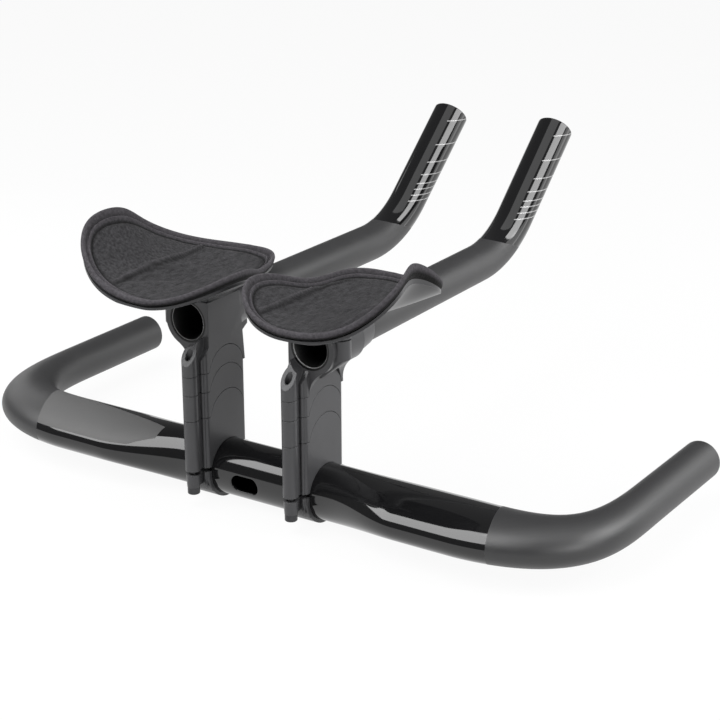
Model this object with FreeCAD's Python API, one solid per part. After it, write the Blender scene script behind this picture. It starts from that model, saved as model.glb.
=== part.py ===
"""Time trial handlebar: a wing-shaped base bar with forward horns, two bent extensions, and two
bolted riser stacks that carry the extensions and the arm rests.

Millimetres. The origin is the centre of the bar's round clamp zone, on the bar's axis.
X points to the rider's right, Y forward and Z up. Pieces are drawn for the right-hand side,
and the left-hand ones are their mirror images in the plane X = 0.
"""
import FreeCAD, Part
import math
import os
from FreeCAD import Vector

# Base bar
OUTSIDE_WIDTH = 420.0
CLAMP_D = 31.8
CLAMP_HALF_LENGTH = 44.0
BAR_WALL = 1.9
WING_X = 100.0
WING_CHORD = 48.0
WING_THICKNESS = 26.0
WING_SETBACK = 6.0
WING_RISE = 3.2
BEND_X = 132.0
BEND_END_Y = 71.0
HORN_D = 22.8
HORN_RISE = 5.0
HORN_END_Y = 139.5
# Shape of the swept bend: how far its two guide handles reach towards the corner
BEND_LEAD = 0.96
BEND_FOLLOW = 0.60
# Cable outlet in the rear wall
OUTLET_LENGTH = 18.0
OUTLET_WIDTH = 9.5
OUTLET_X = -4.6
OUTLET_Z = -2.0

# Extensions
EXTENSION_D = 22.2
EXTENSION_WALL = 1.6
EXTENSION_CORNER_Y = 189.0
EXTENSION_BEND_R = 70.0
EXTENSION_ANGLE = 42.0
EXTENSION_TIP_LENGTH = 94.0
EXTENSION_TOE_IN = 0.6

# Riser stack
RISER_X = 33.2
RISER_THICKNESS = 13.0
RISER_FRONT_LIP = 1.7
RISER_REAR_LIP = 2.6
RISER_FRONT_ROUND = 3.0
RISER_REAR_ROUND = 2.0
COLUMN_REACH = 8.3
COLUMN_R = 4.3
WEB_THICKNESS = 6.0
BEAD_R = 1.1
BASE_RISE = 30.0
MEDIUM_RISE = 15.0
SHORT_RISE = 11.0
LEDGE_RISE = 4.0
FRONT_LEDGE_RISE = 2.6
EAR_LOW_Z = -3.0
EAR_ROOT_Z = 7.4
EAR_SLOPE = 24.0

# Lower clamp
PARTING_Z = 1.8
FRONT_PARTING_Z = -4.5
STRAP_THICKNESS = 2.2
LOWER_BOSS_R = 4.0
LOWER_BOSS_TAPER = 0.4
LOWER_BOSS_HEIGHT = 7.8
LOWER_WEB = 3.2
STRAP_PLATE_LOW_Z = -11.0
STRAP_PLATE_STEP = 0.5
STRAP_BEAD_STEP = 1.4

# Head
BORE_OFFSET_X = 7.4
BORE_BRIDGE = 4.1
SHELL_WALL = 3.9
SEAT_WALL = 1.8
HEAD_REAR_Y = -15.0
HEAD_LEAN = 5.0
SHELL_FRONT_Y = 10.0
NOSE_Y = 29.0
NOSE_WALL = 1.0
HEAD_FILLET_R = 16.0
COLUMN_TOP_RISE = 10.0
COLUMN_TOP_SLOPE = 54.0
SHOULDER_RISE = 10.5
RING_LAND = 1.6
GUSSET_RISE = 6.0
GUSSET_BULGE = 1.2
LUG_R = 5.0
LUG_GAP = 0.2
LUG_Y = -7.5
LUG_LENGTH = 17.5
LUG_TAIL_LENGTH = 14.0
LUG_TAIL_R = 2.0
LUG_TAIL_X = 8.0
SLIT_RISE = 6.5
SLIT_WIDTH = 0.8

# Screws: thread diameter, head diameter, head height and hex socket across flats
M5 = {"d": 5.0, "head_d": 8.5, "head_h": 5.0, "hex": 4.0}
M4 = {"d": 4.0, "head_d": 7.0, "head_h": 4.0, "hex": 3.0}
SOCKET_DEPTH_SHARE = 0.5
HEAD_EDGE_ROUND = 0.6
STACK_BOLT_Y = 7.0
STACK_SEAT_RISE = 5.6
STACK_END_GAP = 0.5
REAR_BOLT_SUNK = 5.0
PINCH_SUNK = 0.3
PINCH_LENGTH = 11.5
CUP_SCREW_D = 4.0
CUP_SCREW_HEAD_D = 7.5
CUP_SCREW_HEAD_H = 2.2
CUP_SCREW_INSET = 2.6
CUP_SCREW_YS = (-6.0, 10.0)
CUP_SCREW_RISE = 2.6
CUP_SCREW_DEPTH = 5.5

# Arm rest: the pad's rim as a closed curve, measured from the middle of the riser and from the seat
RIM = (
    Vector(65, -5, 42),
    Vector(65, 20, 29),
    Vector(50, 43, 15.5),
    Vector(26.5, 54, 12.5),
    Vector(-7, 47, 13.5),
    Vector(-18, 21, 13),
    Vector(-26.5, -1, 20),
    Vector(-28, -22, 22),
    Vector(-10, -43.5, 13),
    Vector(26, -48, 8.5),
    Vector(55, -41.5, 19),
    Vector(69, -22, 39),
)
PAD_THICKNESS = 4.0
PAD_FLOOR_X = 13.0
PAD_REAR_LIFT = 2.4
PAD_FRONT_LIFT = 6.4
TROUGH_POWER = 2.2
CUP_THICKNESS = 1.5
CUP_START = 0.05
CUP_END = 0.97
CUP_LENGTH_SHARE = 0.96
SEAT_PAD_FRONT_Y = 14.0
SEAT_PAD_INNER_RISE = 3.0
SEAT_PAD_OUTER_RISE = 0.9
REST_STATIONS = 11
REST_POINTS = 9
RIM_SAMPLES = 400
END_SHARE = 0.985

# Clearances
SADDLE_CLEARANCE = 0.05
JOINT_GAP = 0.25
BORE_CLEARANCE = 0.05
HOLE_CLEARANCE = 0.25
THREAD_CLEARANCE = 0.05
SOFT_GAP = 0.3
CUT_MARGIN = 1.0

# Derived places
HORN_X = (OUTSIDE_WIDTH - HORN_D) / 2
HALF = RISER_THICKNESS / 2
BAR_R = CLAMP_D / 2
EXTENSION_R = EXTENSION_D / 2
RISER_FRONT_Y = BAR_R + RISER_FRONT_LIP
RISER_REAR_Y = -BAR_R - RISER_REAR_LIP
COLUMN_Y = BAR_R + COLUMN_REACH
MEDIUM_Z = BASE_RISE
SHORT_Z = MEDIUM_Z + MEDIUM_RISE
HEAD_Z = SHORT_Z + SHORT_RISE
EXTENSION_X = RISER_X + BORE_OFFSET_X
EXTENSION_Z = HEAD_Z + BAR_R + BORE_BRIDGE + EXTENSION_R
SHELL_R = EXTENSION_R + SHELL_WALL
SEAT_Z = EXTENSION_Z + EXTENSION_R + SEAT_WALL
SHOULDER_X = BORE_OFFSET_X + math.sqrt(SHELL_R ** 2 - (SEAT_Z - EXTENSION_Z) ** 2)
LUG_X = BORE_OFFSET_X + SHELL_R + LUG_GAP
COLUMN_TOP_REAR_Z = HEAD_Z + COLUMN_TOP_RISE
COLUMN_TOP_Z = COLUMN_TOP_REAR_Z + math.tan(math.radians(COLUMN_TOP_SLOPE)) * COLUMN_R
REAR_SEAT_Z = PARTING_Z - LOWER_BOSS_HEIGHT
FRONT_SEAT_Z = FRONT_PARTING_Z - LOWER_BOSS_HEIGHT
STACK_SEAT_Z = BAR_R + STACK_SEAT_RISE
STACK_END_Z = EXTENSION_Z - EXTENSION_R - STACK_END_GAP
PINCH_SEAT_Z = SEAT_Z - PINCH_SUNK - M4["head_h"]
CUP_SCREW_X = -HALF + CUP_SCREW_INSET
PAD_FLOOR = CUP_THICKNESS + SOFT_GAP + PAD_THICKNESS


def smooth(t):
    """An S-shaped blend from 0 to 1 that starts and ends level."""
    return t * t * (3 - 2 * t)


def blend(start, end, t):
    return start + (end - start) * t


def cylinder(radius, start, end):
    """A round rod between two points."""
    along = end.sub(start)
    return Part.makeCylinder(radius, along.Length, start, along)


def prism(edges, direction):
    """A closed outline of edges, pushed along a direction."""
    return Part.Face(Part.Wire(edges)).extrude(direction)


def lines(points):
    """Straight edges through the points, in order."""
    return [Part.makeLine(a, b) for a, b in zip(points, points[1:])]


def outward_box(low, high):
    """A box between two corners."""
    size = high.sub(low)
    return Part.makeBox(size.x, size.y, size.z, low)


# Base bar


def bar_section(centre, across, half_chord, half_thickness, shrink):
    """An elliptical section of the bar, pulled in by the wall for the hollow inside. The ends are round."""
    wide = across * (half_chord - shrink)
    tall = Vector(0, 0, half_thickness - shrink)
    if half_chord > half_thickness:
        outline = Part.Ellipse(centre + wide, centre + tall, centre)
    else:
        outline = Part.Circle(centre, across.cross(tall), half_thickness - shrink)
        outline.XAxis = across
    return Part.Wire(outline.toShape())


def bend_point(t):
    """A point of the swept bend and its direction, on a cubic curve from the wing to the horn."""
    start = Vector(BEND_X, -WING_SETBACK, 0)
    end = Vector(HORN_X, BEND_END_Y, 0)
    lead = start + Vector(BEND_LEAD * (end.x - start.x), 0, 0)
    follow = end - Vector(0, BEND_FOLLOW * (end.y - start.y), 0)
    s = 1 - t
    point = start * s ** 3 + lead * (3 * s * s * t) + follow * (3 * s * t * t) + end * t ** 3
    slope = (lead - start) * (s * s) + (follow - lead) * (2 * s * t) + (end - follow) * (t * t)
    return point, slope.normalize()


def bar_side(shrink, overrun):
    """One side of the bar: round to wing, along the wing, round the bend and out along the horn."""
    forward = Vector(0, 1, 0)
    sections = []
    for t in (0.0, 0.08, 0.3, 0.5, 0.7, 0.92, 1.0):
        w = smooth(t)
        centre = Vector(blend(CLAMP_HALF_LENGTH, WING_X, t), -WING_SETBACK * w, WING_RISE * w)
        chord = blend(BAR_R, WING_CHORD / 2, w)
        thick = blend(BAR_R, WING_THICKNESS / 2, w)
        sections.append(bar_section(centre, forward, chord, thick, shrink))
    for t in (0.0, 0.15, 0.3, 0.45, 0.6, 0.72, 0.84, 0.93, 1.0):
        point, along = bend_point(t)
        w = smooth(t ** 0.75)
        point.z = blend(WING_RISE, HORN_RISE, smooth(t))
        across = Vector(-along.y, along.x, 0)
        chord = blend(WING_CHORD / 2, HORN_D / 2, w)
        thick = blend(WING_THICKNESS / 2, HORN_D / 2, w)
        sections.append(bar_section(point, across, chord, thick, shrink))
    side = Part.makeLoft(sections, True, False)
    root = Vector(HORN_X, BEND_END_Y, HORN_RISE)
    tip = Vector(HORN_X, HORN_END_Y + overrun, HORN_RISE)
    return side.fuse(cylinder(HORN_D / 2 - shrink, root, tip))


def bar_body(shrink, overrun):
    """The whole bar's outside, or its hollow inside."""
    right = bar_side(shrink, overrun)
    left = right.mirror(Vector(0, 0, 0), Vector(1, 0, 0))
    reach = Vector(CLAMP_HALF_LENGTH, 0, 0)
    middle = cylinder(BAR_R - shrink, reach * -1, reach)
    return middle.fuse([right, left]).removeSplitter()


def base_bar():
    bar = bar_body(0.0, 0.0).cut(bar_body(BAR_WALL, CUT_MARGIN))
    half_run = (OUTLET_LENGTH - OUTLET_WIDTH) / 2
    ends = [Vector(OUTLET_X + s * half_run, 0, OUTLET_Z) for s in (-1, 1)]
    back = Vector(0, -CLAMP_D, 0)
    outlet = cylinder(OUTLET_WIDTH / 2, ends[0], ends[0] + back)
    outlet = outlet.fuse(cylinder(OUTLET_WIDTH / 2, ends[1], ends[1] + back))
    tall = Vector(0, 0, OUTLET_WIDTH / 2)
    outlet = outlet.fuse(outward_box(ends[0] + back - tall, ends[1] + tall))
    return bar.cut(outlet)


# Extensions


def bent_rod(radius, overrun):
    """A round rod along the extension's line: straight, an arc, then straight up to the tip."""
    angle = math.radians(EXTENSION_ANGLE)
    setback = EXTENSION_BEND_R * math.tan(angle / 2)
    rear = Vector(EXTENSION_X, HEAD_REAR_Y - overrun, EXTENSION_Z)
    start = Vector(EXTENSION_X, EXTENSION_CORNER_Y - setback, EXTENSION_Z)
    along = Vector(0, math.cos(angle), math.sin(angle))
    corner = Vector(EXTENSION_X, EXTENSION_CORNER_Y, EXTENSION_Z)
    end = corner + along * setback
    tip = corner + along * (EXTENSION_TIP_LENGTH + overrun)
    disc = Part.Face(Part.Wire(Part.Circle(start, Vector(0, 1, 0), radius).toShape()))
    pivot = start + Vector(0, 0, EXTENSION_BEND_R)
    arc = disc.revolve(pivot, Vector(1, 0, 0), EXTENSION_ANGLE)
    return cylinder(radius, rear, start).fuse([arc, cylinder(radius, end, tip)]).removeSplitter()


def toed_in(shape, pivot_x):
    """Turns a shape inward by the extensions' toe-in, about an upright line through the clamp."""
    turned = shape.copy()
    turned.rotate(Vector(pivot_x, 0, 0), Vector(0, 0, 1), EXTENSION_TOE_IN)
    return turned


def extension():
    tube = bent_rod(EXTENSION_R, 0.0).cut(bent_rod(EXTENSION_R - EXTENSION_WALL, CUT_MARGIN))
    return toed_in(tube, EXTENSION_X)


# Riser stack, drawn about its own middle plane, with x outward


def plate(low_z, high_z):
    """The riser's flat plate, with rounded upright edges."""
    slab = outward_box(Vector(-HALF, RISER_REAR_Y, low_z), Vector(HALF, RISER_FRONT_Y, high_z))
    for y, radius in ((RISER_FRONT_Y, RISER_FRONT_ROUND), (RISER_REAR_Y, RISER_REAR_ROUND)):
        corners = [e for e in slab.Edges if abs(e.tangentAt(e.FirstParameter).z) > 0.9
                   and abs(e.CenterOfMass.y - y) < SADDLE_CLEARANCE]
        slab = slab.makeFillet(radius, corners)
    return slab


def beads(low_z, high_z):
    """The two thin upright beads between the plate's back and its web."""
    bead_x = WEB_THICKNESS / 2 + BEAD_R
    return [cylinder(BEAD_R, Vector(s * bead_x, RISER_REAR_Y, low_z), Vector(s * bead_x, RISER_REAR_Y, high_z))
            for s in (-1, 1)]


def column(low_z, high_z):
    """The riser's upright: a flat plate, a web and a round screw column behind, with beads beside the web."""
    post = cylinder(COLUMN_R, Vector(0, -COLUMN_Y, low_z), Vector(0, -COLUMN_Y, high_z))
    web = outward_box(Vector(-WEB_THICKNESS / 2, -COLUMN_Y, low_z),
                      Vector(WEB_THICKNESS / 2, RISER_REAR_Y + CUT_MARGIN, high_z))
    return plate(low_z, high_z).fuse([post, web] + beads(low_z, high_z)).removeSplitter()


def saddle_below(axis_z, radius):
    """All that lies under a saddle joint: an arch about the axis, with a level ledge behind and before."""
    rear_z = axis_z + LEDGE_RISE
    front_z = axis_z + FRONT_LEDGE_RISE
    rear_y = -math.sqrt(radius ** 2 - LEDGE_RISE ** 2)
    front_y = math.sqrt(radius ** 2 - FRONT_LEDGE_RISE ** 2)
    far = COLUMN_Y + COLUMN_R + CUT_MARGIN
    low_z = axis_z - BASE_RISE
    foot = Vector(0, rear_y, rear_z)
    toe = Vector(0, front_y, front_z)
    arch = Part.Arc(foot, Vector(0, 0, axis_z + radius), toe).toShape()
    rest = lines([toe, Vector(0, far, front_z), Vector(0, far, low_z), Vector(0, -far, low_z),
                  Vector(0, -far, rear_z), foot])
    width = 4 * RISER_THICKNESS
    solid = prism([arch] + rest, Vector(width, 0, 0))
    solid.translate(Vector(-width / 2, 0, 0))
    return solid


def stack_piece(low_axis_z, high_axis_z):
    """A spacer between two saddle joints, with its two screw holes."""
    top = saddle_below(high_axis_z, BAR_R)
    top.translate(Vector(0, 0, -JOINT_GAP))
    piece = column(low_axis_z, high_axis_z + BAR_R).common(top)
    piece = piece.cut(saddle_below(low_axis_z, BAR_R + SADDLE_CLEARANCE))
    for y, size in ((-COLUMN_Y, M4), (STACK_BOLT_Y, M5)):
        hole_r = size["d"] / 2 + HOLE_CLEARANCE
        piece = piece.cut(Part.makeCylinder(hole_r, high_axis_z + BAR_R, Vector(0, y, low_axis_z)))
    return piece


def sloped_ear():
    """The saddle's front ear: a round boss on a block, with a top that slopes down forward."""
    ear = Part.makeCylinder(COLUMN_R, EAR_ROOT_Z - EAR_LOW_Z, Vector(0, COLUMN_Y, EAR_LOW_Z))
    inner_y = BAR_R + SADDLE_CLEARANCE
    block = outward_box(Vector(-COLUMN_R, inner_y, EAR_LOW_Z), Vector(COLUMN_R, COLUMN_Y, EAR_ROOT_Z))
    run = COLUMN_Y + COLUMN_R + CUT_MARGIN - RISER_FRONT_Y
    drop = math.tan(math.radians(EAR_SLOPE)) * run
    root = Vector(-CLAMP_D, RISER_FRONT_Y, EAR_ROOT_Z)
    roof = prism(lines([root, root + Vector(0, run, -drop), root + Vector(0, run, 0), root]),
                 Vector(2 * CLAMP_D, 0, 0))
    return ear.fuse(block).cut(roof)


def base_saddle():
    """The bottom spacer: it sits on the bar, and has a front ear for the strap's short screw."""
    piece = stack_piece(0.0, BASE_RISE)
    piece = piece.fuse(sloped_ear()).removeSplitter()
    thread = Part.makeCylinder(M4["d"] / 2 + THREAD_CLEARANCE, BAR_R, Vector(0, COLUMN_Y, EAR_LOW_Z))
    sink = Part.makeCylinder(M5["head_d"] / 2 + HOLE_CLEARANCE, STACK_SEAT_Z, Vector(0, STACK_BOLT_Y, 0))
    return piece.cut([thread, sink])


def lower_clamp():
    """The strap under the bar. Its back carries on the riser's beaded plate, and a tapered screw boss
    stands behind and before it, each on a web."""
    inner_r = BAR_R + SADDLE_CLEARANCE
    outer_r = BAR_R + STRAP_THICKNESS
    side = Vector(HALF, 0, 0)
    strap = cylinder(outer_r, side * -1, side)
    back = plate(STRAP_PLATE_LOW_Z, PARTING_Z).common(cylinder(outer_r + STRAP_PLATE_STEP, side * -1, side))
    round_end = cylinder(outer_r + STRAP_BEAD_STEP, side * -1, side)
    strap = strap.fuse([back] + [bead.common(round_end) for bead in beads(STRAP_PLATE_LOW_Z, PARTING_Z)])
    far = COLUMN_Y + COLUMN_R + CUT_MARGIN
    hole_r = M4["d"] / 2 + HOLE_CLEARANCE
    past = Vector(HALF + CUT_MARGIN, 0, 0)
    cuts = [cylinder(inner_r, past * -1, past)]
    for s, seat_z, parting_z in ((-1, REAR_SEAT_Z, PARTING_Z), (1, FRONT_SEAT_Z, FRONT_PARTING_Z)):
        boss = Part.makeCone(LOWER_BOSS_R - LOWER_BOSS_TAPER, LOWER_BOSS_R, LOWER_BOSS_HEIGHT,
                             Vector(0, s * COLUMN_Y, seat_z))
        ys = sorted((0.0, s * COLUMN_Y))
        web = outward_box(Vector(-LOWER_WEB / 2, ys[0], seat_z), Vector(LOWER_WEB / 2, ys[1], parting_z))
        strap = strap.fuse([boss, web])
        ys = sorted((0.0, s * far))
        cuts.append(outward_box(Vector(-CLAMP_D, ys[0], parting_z), Vector(CLAMP_D, ys[1], CLAMP_D)))
        cuts.append(Part.makeCylinder(hole_r, CLAMP_D, Vector(0, s * COLUMN_Y, -CLAMP_D / 2)))
    return strap.cut(cuts).removeSplitter()


# Head


def head_block():
    """The head's body: flat on the inner side, round about the bore, filleted into the plate, and with
    a front that leans back."""
    across = HALF + HEAD_FILLET_R - BORE_OFFSET_X
    apart = SHELL_R + HEAD_FILLET_R
    down = math.sqrt(apart ** 2 - across ** 2)
    fillet_x = HALF + HEAD_FILLET_R
    fillet_z = EXTENSION_Z - down
    join = Vector(BORE_OFFSET_X + SHELL_R * across / apart, 0, EXTENSION_Z - SHELL_R * down / apart)
    turn = (math.pi + math.atan2(down, -across)) / 2
    waist = Vector(fillet_x + HEAD_FILLET_R * math.cos(turn), 0, fillet_z + HEAD_FILLET_R * math.sin(turn))
    shoulder = Vector(SHOULDER_X, 0, SEAT_Z)
    shell = Part.Arc(shoulder, Vector(BORE_OFFSET_X + SHELL_R, 0, EXTENSION_Z), join).toShape()
    fillet = Part.Arc(join, waist, Vector(HALF, 0, fillet_z)).toShape()
    rest = lines([Vector(HALF, 0, fillet_z), Vector(HALF, 0, HEAD_Z), Vector(-HALF, 0, HEAD_Z),
                  Vector(-HALF, 0, SEAT_Z), shoulder])
    block = prism([shell, fillet] + rest, Vector(0, RISER_FRONT_Y - HEAD_REAR_Y, 0))
    block.translate(Vector(0, HEAD_REAR_Y, 0))
    corner = Vector(-SHELL_R, RISER_FRONT_Y, HEAD_Z)
    top = Vector(-SHELL_R, RISER_FRONT_Y, SEAT_Z)
    back = Vector(-SHELL_R, RISER_FRONT_Y - math.tan(math.radians(HEAD_LEAN)) * (SEAT_Z - HEAD_Z), SEAT_Z)
    return block.cut(prism(lines([corner, top, back, corner]), Vector(4 * SHELL_R, 0, 0)))


def head_column():
    """The rear screw column up to its slanted top, scooped out round the end of the extension. The plate
    and its beads end lower, on a slanted shoulder."""
    rear_y = -COLUMN_Y - COLUMN_R
    run = HEAD_REAR_Y + CUT_MARGIN - rear_y
    crest_z = COLUMN_TOP_REAR_Z + math.tan(math.radians(COLUMN_TOP_SLOPE)) * run
    post = column(HEAD_Z, crest_z)
    low = Vector(-RISER_THICKNESS, rear_y - CUT_MARGIN, HEAD_Z)
    slope = lines([low, Vector(low.x, low.y, COLUMN_TOP_REAR_Z), Vector(low.x, rear_y, COLUMN_TOP_REAR_Z),
                   Vector(low.x, rear_y + run, crest_z), Vector(low.x, rear_y + run, HEAD_Z), low])
    post = post.common(prism(slope, Vector(2 * RISER_THICKNESS, 0, 0)))
    scoop = cylinder(EXTENSION_R + RING_LAND, Vector(BORE_OFFSET_X, rear_y, EXTENSION_Z),
                     Vector(BORE_OFFSET_X, HEAD_REAR_Y, EXTENSION_Z))
    shelf = Vector(WEB_THICKNESS / 2, RISER_REAR_Y - BEAD_R - CUT_MARGIN, HEAD_Z + SHOULDER_RISE)
    deep = HEAD_REAR_Y - shelf.y
    rise = math.tan(math.radians(COLUMN_TOP_SLOPE)) * deep
    shoulder = prism(lines([shelf, shelf + Vector(0, deep, rise), Vector(shelf.x, HEAD_REAR_Y, SEAT_Z),
                            Vector(shelf.x, shelf.y, SEAT_Z), shelf]), Vector(RISER_THICKNESS, 0, 0))
    return post.cut([scoop, shoulder, shoulder.mirror(Vector(0, 0, 0), Vector(1, 0, 0))])


def head_nose():
    """The clamp's shell about the extension, tapering forward, with the gusset under it."""
    axis = Vector(BORE_OFFSET_X, 0, EXTENSION_Z)
    ahead = Vector(0, 1, 0)
    nose_r = EXTENSION_R + NOSE_WALL
    nose = Part.makeCone(SHELL_R, nose_r, NOSE_Y - SHELL_FRONT_Y, axis + ahead * SHELL_FRONT_Y, ahead)
    foot = Vector(0, RISER_FRONT_Y - RISER_FRONT_ROUND, HEAD_Z + GUSSET_RISE)
    toe = Vector(0, NOSE_Y, EXTENSION_Z - nose_r)
    middle = (foot + toe) * 0.5 + (toe - foot).cross(Vector(-1, 0, 0)).normalize() * GUSSET_BULGE
    low_edge = Part.Arc(foot, middle, toe).toShape()
    rest = lines([toe, Vector(0, NOSE_Y, EXTENSION_Z), Vector(0, foot.y, EXTENSION_Z), foot])
    gusset = prism([low_edge] + rest, Vector(HALF, 0, 0))
    return nose.fuse(gusset)


def pinch_lug():
    """The upright boss on the outer side, drawn down into the plate by a tapering tail."""
    up = Vector(0, 0, 1)
    low = Vector(LUG_X, LUG_Y, SEAT_Z - LUG_LENGTH)
    tail = Vector(LUG_TAIL_X, LUG_Y, low.z - LUG_TAIL_LENGTH)
    rings = [Part.Wire(Part.Circle(low, up, LUG_R).toShape()),
             Part.Wire(Part.Circle(tail, up, LUG_TAIL_R).toShape())]
    return Part.makeCylinder(LUG_R, LUG_LENGTH, low).fuse(Part.makeLoft(rings, True, True))


def riser_head():
    reach = 4 * SHELL_R
    head = head_block().fuse([head_column(), head_nose(), pinch_lug()])
    above = outward_box(Vector(-reach, -reach, SEAT_Z), Vector(reach, reach, SEAT_Z + reach))
    inside = outward_box(Vector(-reach, -reach, HEAD_Z), Vector(-HALF, reach, SEAT_Z))
    bore = cylinder(EXTENSION_R + BORE_CLEARANCE, Vector(BORE_OFFSET_X, -reach, EXTENSION_Z),
                    Vector(BORE_OFFSET_X, reach, EXTENSION_Z))
    slit_z = EXTENSION_Z + SLIT_RISE
    slit = outward_box(Vector(BORE_OFFSET_X, HEAD_REAR_Y - CUT_MARGIN, slit_z - SLIT_WIDTH / 2),
                       Vector(LUG_X + LUG_R + CUT_MARGIN, NOSE_Y + CUT_MARGIN, slit_z + SLIT_WIDTH / 2))
    thread_r = M5["d"] / 2 + THREAD_CLEARANCE
    rear_thread = Part.makeCylinder(M4["d"] / 2 + THREAD_CLEARANCE, EXTENSION_Z - HEAD_Z,
                                    Vector(0, -COLUMN_Y, HEAD_Z))
    stack_thread = Part.makeCylinder(thread_r, STACK_END_Z + SOFT_GAP - HEAD_Z, Vector(0, STACK_BOLT_Y, HEAD_Z))
    pinch_sink = Part.makeCylinder(M4["head_d"] / 2 + HOLE_CLEARANCE, SEAT_Z - PINCH_SEAT_Z,
                                   Vector(LUG_X, LUG_Y, PINCH_SEAT_Z))
    pinch_depth = PINCH_LENGTH + SOFT_GAP
    pinch_hole = Part.makeCylinder(M4["d"] / 2 + THREAD_CLEARANCE, pinch_depth,
                                   Vector(LUG_X, LUG_Y, PINCH_SEAT_Z - pinch_depth))
    saddle = saddle_below(HEAD_Z, BAR_R + SADDLE_CLEARANCE)
    head = head.cut([above, inside, toed_in(bore, BORE_OFFSET_X), slit, saddle])
    head = head.cut([rear_thread, stack_thread, pinch_sink, pinch_hole])
    for y in CUP_SCREW_YS:
        depth = CUP_SCREW_DEPTH + SOFT_GAP
        head = head.cut(Part.makeCylinder(CUP_SCREW_D / 2 + THREAD_CLEARANCE, depth,
                                          Vector(CUP_SCREW_X, y, SEAT_Z - depth)))
    return head.removeSplitter()


# Screws


def cap_screw(size, length):
    """A socket-head screw, standing on its head: the seat is at z = 0 and the thread points up."""
    head = Part.makeCylinder(size["head_d"] / 2, size["head_h"], Vector(0, 0, -size["head_h"]))
    rim = [e for e in head.Edges if e.CenterOfMass.z < -0.9 * size["head_h"] and e.Closed]
    head = head.makeFillet(HEAD_EDGE_ROUND, rim)
    corner_r = size["hex"] / math.sqrt(3)
    turns = [math.radians(60 * k) for k in range(7)]
    hexagon = [Vector(corner_r * math.cos(a), corner_r * math.sin(a), -size["head_h"]) for a in turns]
    socket = prism(lines(hexagon), Vector(0, 0, SOCKET_DEPTH_SHARE * size["head_h"]))
    return head.cut(socket).fuse(Part.makeCylinder(size["d"] / 2, length))


def placed_screw(size, seat, length, upside_down=False):
    """A cap screw with its head's bearing face at the given place."""
    screw = cap_screw(size, length)
    if upside_down:
        screw.rotate(Vector(0, 0, 0), Vector(1, 0, 0), 180)
    screw.translate(seat)
    return screw


def cup_screws():
    """The two countersunk screws that hold the cup to the head."""
    screws = []
    neck_z = SEAT_Z + CUP_SCREW_RISE - CUP_SCREW_HEAD_H
    end_z = SEAT_Z - CUP_SCREW_DEPTH
    for y in CUP_SCREW_YS:
        cone = Part.makeCone(CUP_SCREW_D / 2, CUP_SCREW_HEAD_D / 2, CUP_SCREW_HEAD_H, Vector(CUP_SCREW_X, y, neck_z))
        shank = Part.makeCylinder(CUP_SCREW_D / 2, neck_z - end_z, Vector(CUP_SCREW_X, y, end_z))
        screws.append(cone.fuse(shank))
    return Part.makeCompound(screws)


# Arm rest, drawn about the riser's middle plane with z = 0 at the seat


def rim_curve():
    curve = Part.BSplineCurve()
    curve.interpolate(Points=list(RIM), PeriodicFlag=True)
    return curve


def rim_ends(curve, y):
    """The rim's inner and outer points at station y."""
    points, overlaps = curve.intersectCS(Part.Plane(Vector(0, y, 0), Vector(0, 1, 0)))
    places = sorted([Vector(p.X, p.Y, p.Z) for p in points], key=lambda p: p.x)
    return places[0], places[-1]


def trough_section(curve, y, ends, first, last, top_depth, low_depth):
    """A closed slice of the trough at station y, between two depths square to its surface, from one
    share of its width to another. Each flank rises from the floor by a power of its width, and the
    slice's ends are plumb."""
    inner, outer = rim_ends(curve, y)
    rear_y, front_y = ends
    lift = PAD_FRONT_LIFT * (y / front_y) ** 2 if y > 0 else PAD_REAR_LIFT * (y / rear_y) ** 2
    floor_z = min(PAD_FLOOR + lift, inner.z, outer.z)
    middle_x = (inner.x + outer.x) / 2
    floor_x = min(max(PAD_FLOOR_X, blend(inner.x, middle_x, 0.5)), middle_x)
    top = []
    low = []
    for k in range(REST_POINTS):
        x = blend(inner.x, outer.x, blend(first, last, k / (REST_POINTS - 1)))
        rim = inner if x < floor_x else outer
        share = (x - floor_x) / (rim.x - floor_x)
        z = floor_z + (rim.z - floor_z) * share ** TROUGH_POWER
        slope = (rim.z - floor_z) * TROUGH_POWER * share ** (TROUGH_POWER - 1) / (rim.x - floor_x)
        plumb = math.hypot(1, slope)
        top.append(Vector(x, y, z - top_depth * plumb))
        low.append(Vector(x, y, z - low_depth * plumb))
    upper = Part.BSplineCurve()
    upper.interpolate(top)
    lower = Part.BSplineCurve()
    lower.interpolate(low[::-1])
    edges = [upper.toShape(), Part.makeLine(top[-1], low[-1]), lower.toShape(), Part.makeLine(low[0], top[0])]
    return Part.Wire(edges)


def trough(length_share, first, last, top_depth, low_depth):
    """The trough's slices from rear to front, joined into one solid."""
    curve = rim_curve()
    along = [p.y for p in curve.toShape().discretize(RIM_SAMPLES)]
    ends = (min(along), max(along))
    middle = (ends[1] + ends[0]) / 2
    reach = length_share * (ends[1] - ends[0]) / 2
    sections = []
    for k in range(REST_STATIONS):
        y = middle - reach * math.cos(math.pi * k / (REST_STATIONS - 1))
        sections.append(trough_section(curve, y, ends, first, last, top_depth, low_depth))
    return Part.makeLoft(sections, True, False)


def arm_pad():
    return trough(END_SHARE, 0.0, 1.0, 0.0, PAD_THICKNESS)


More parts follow.
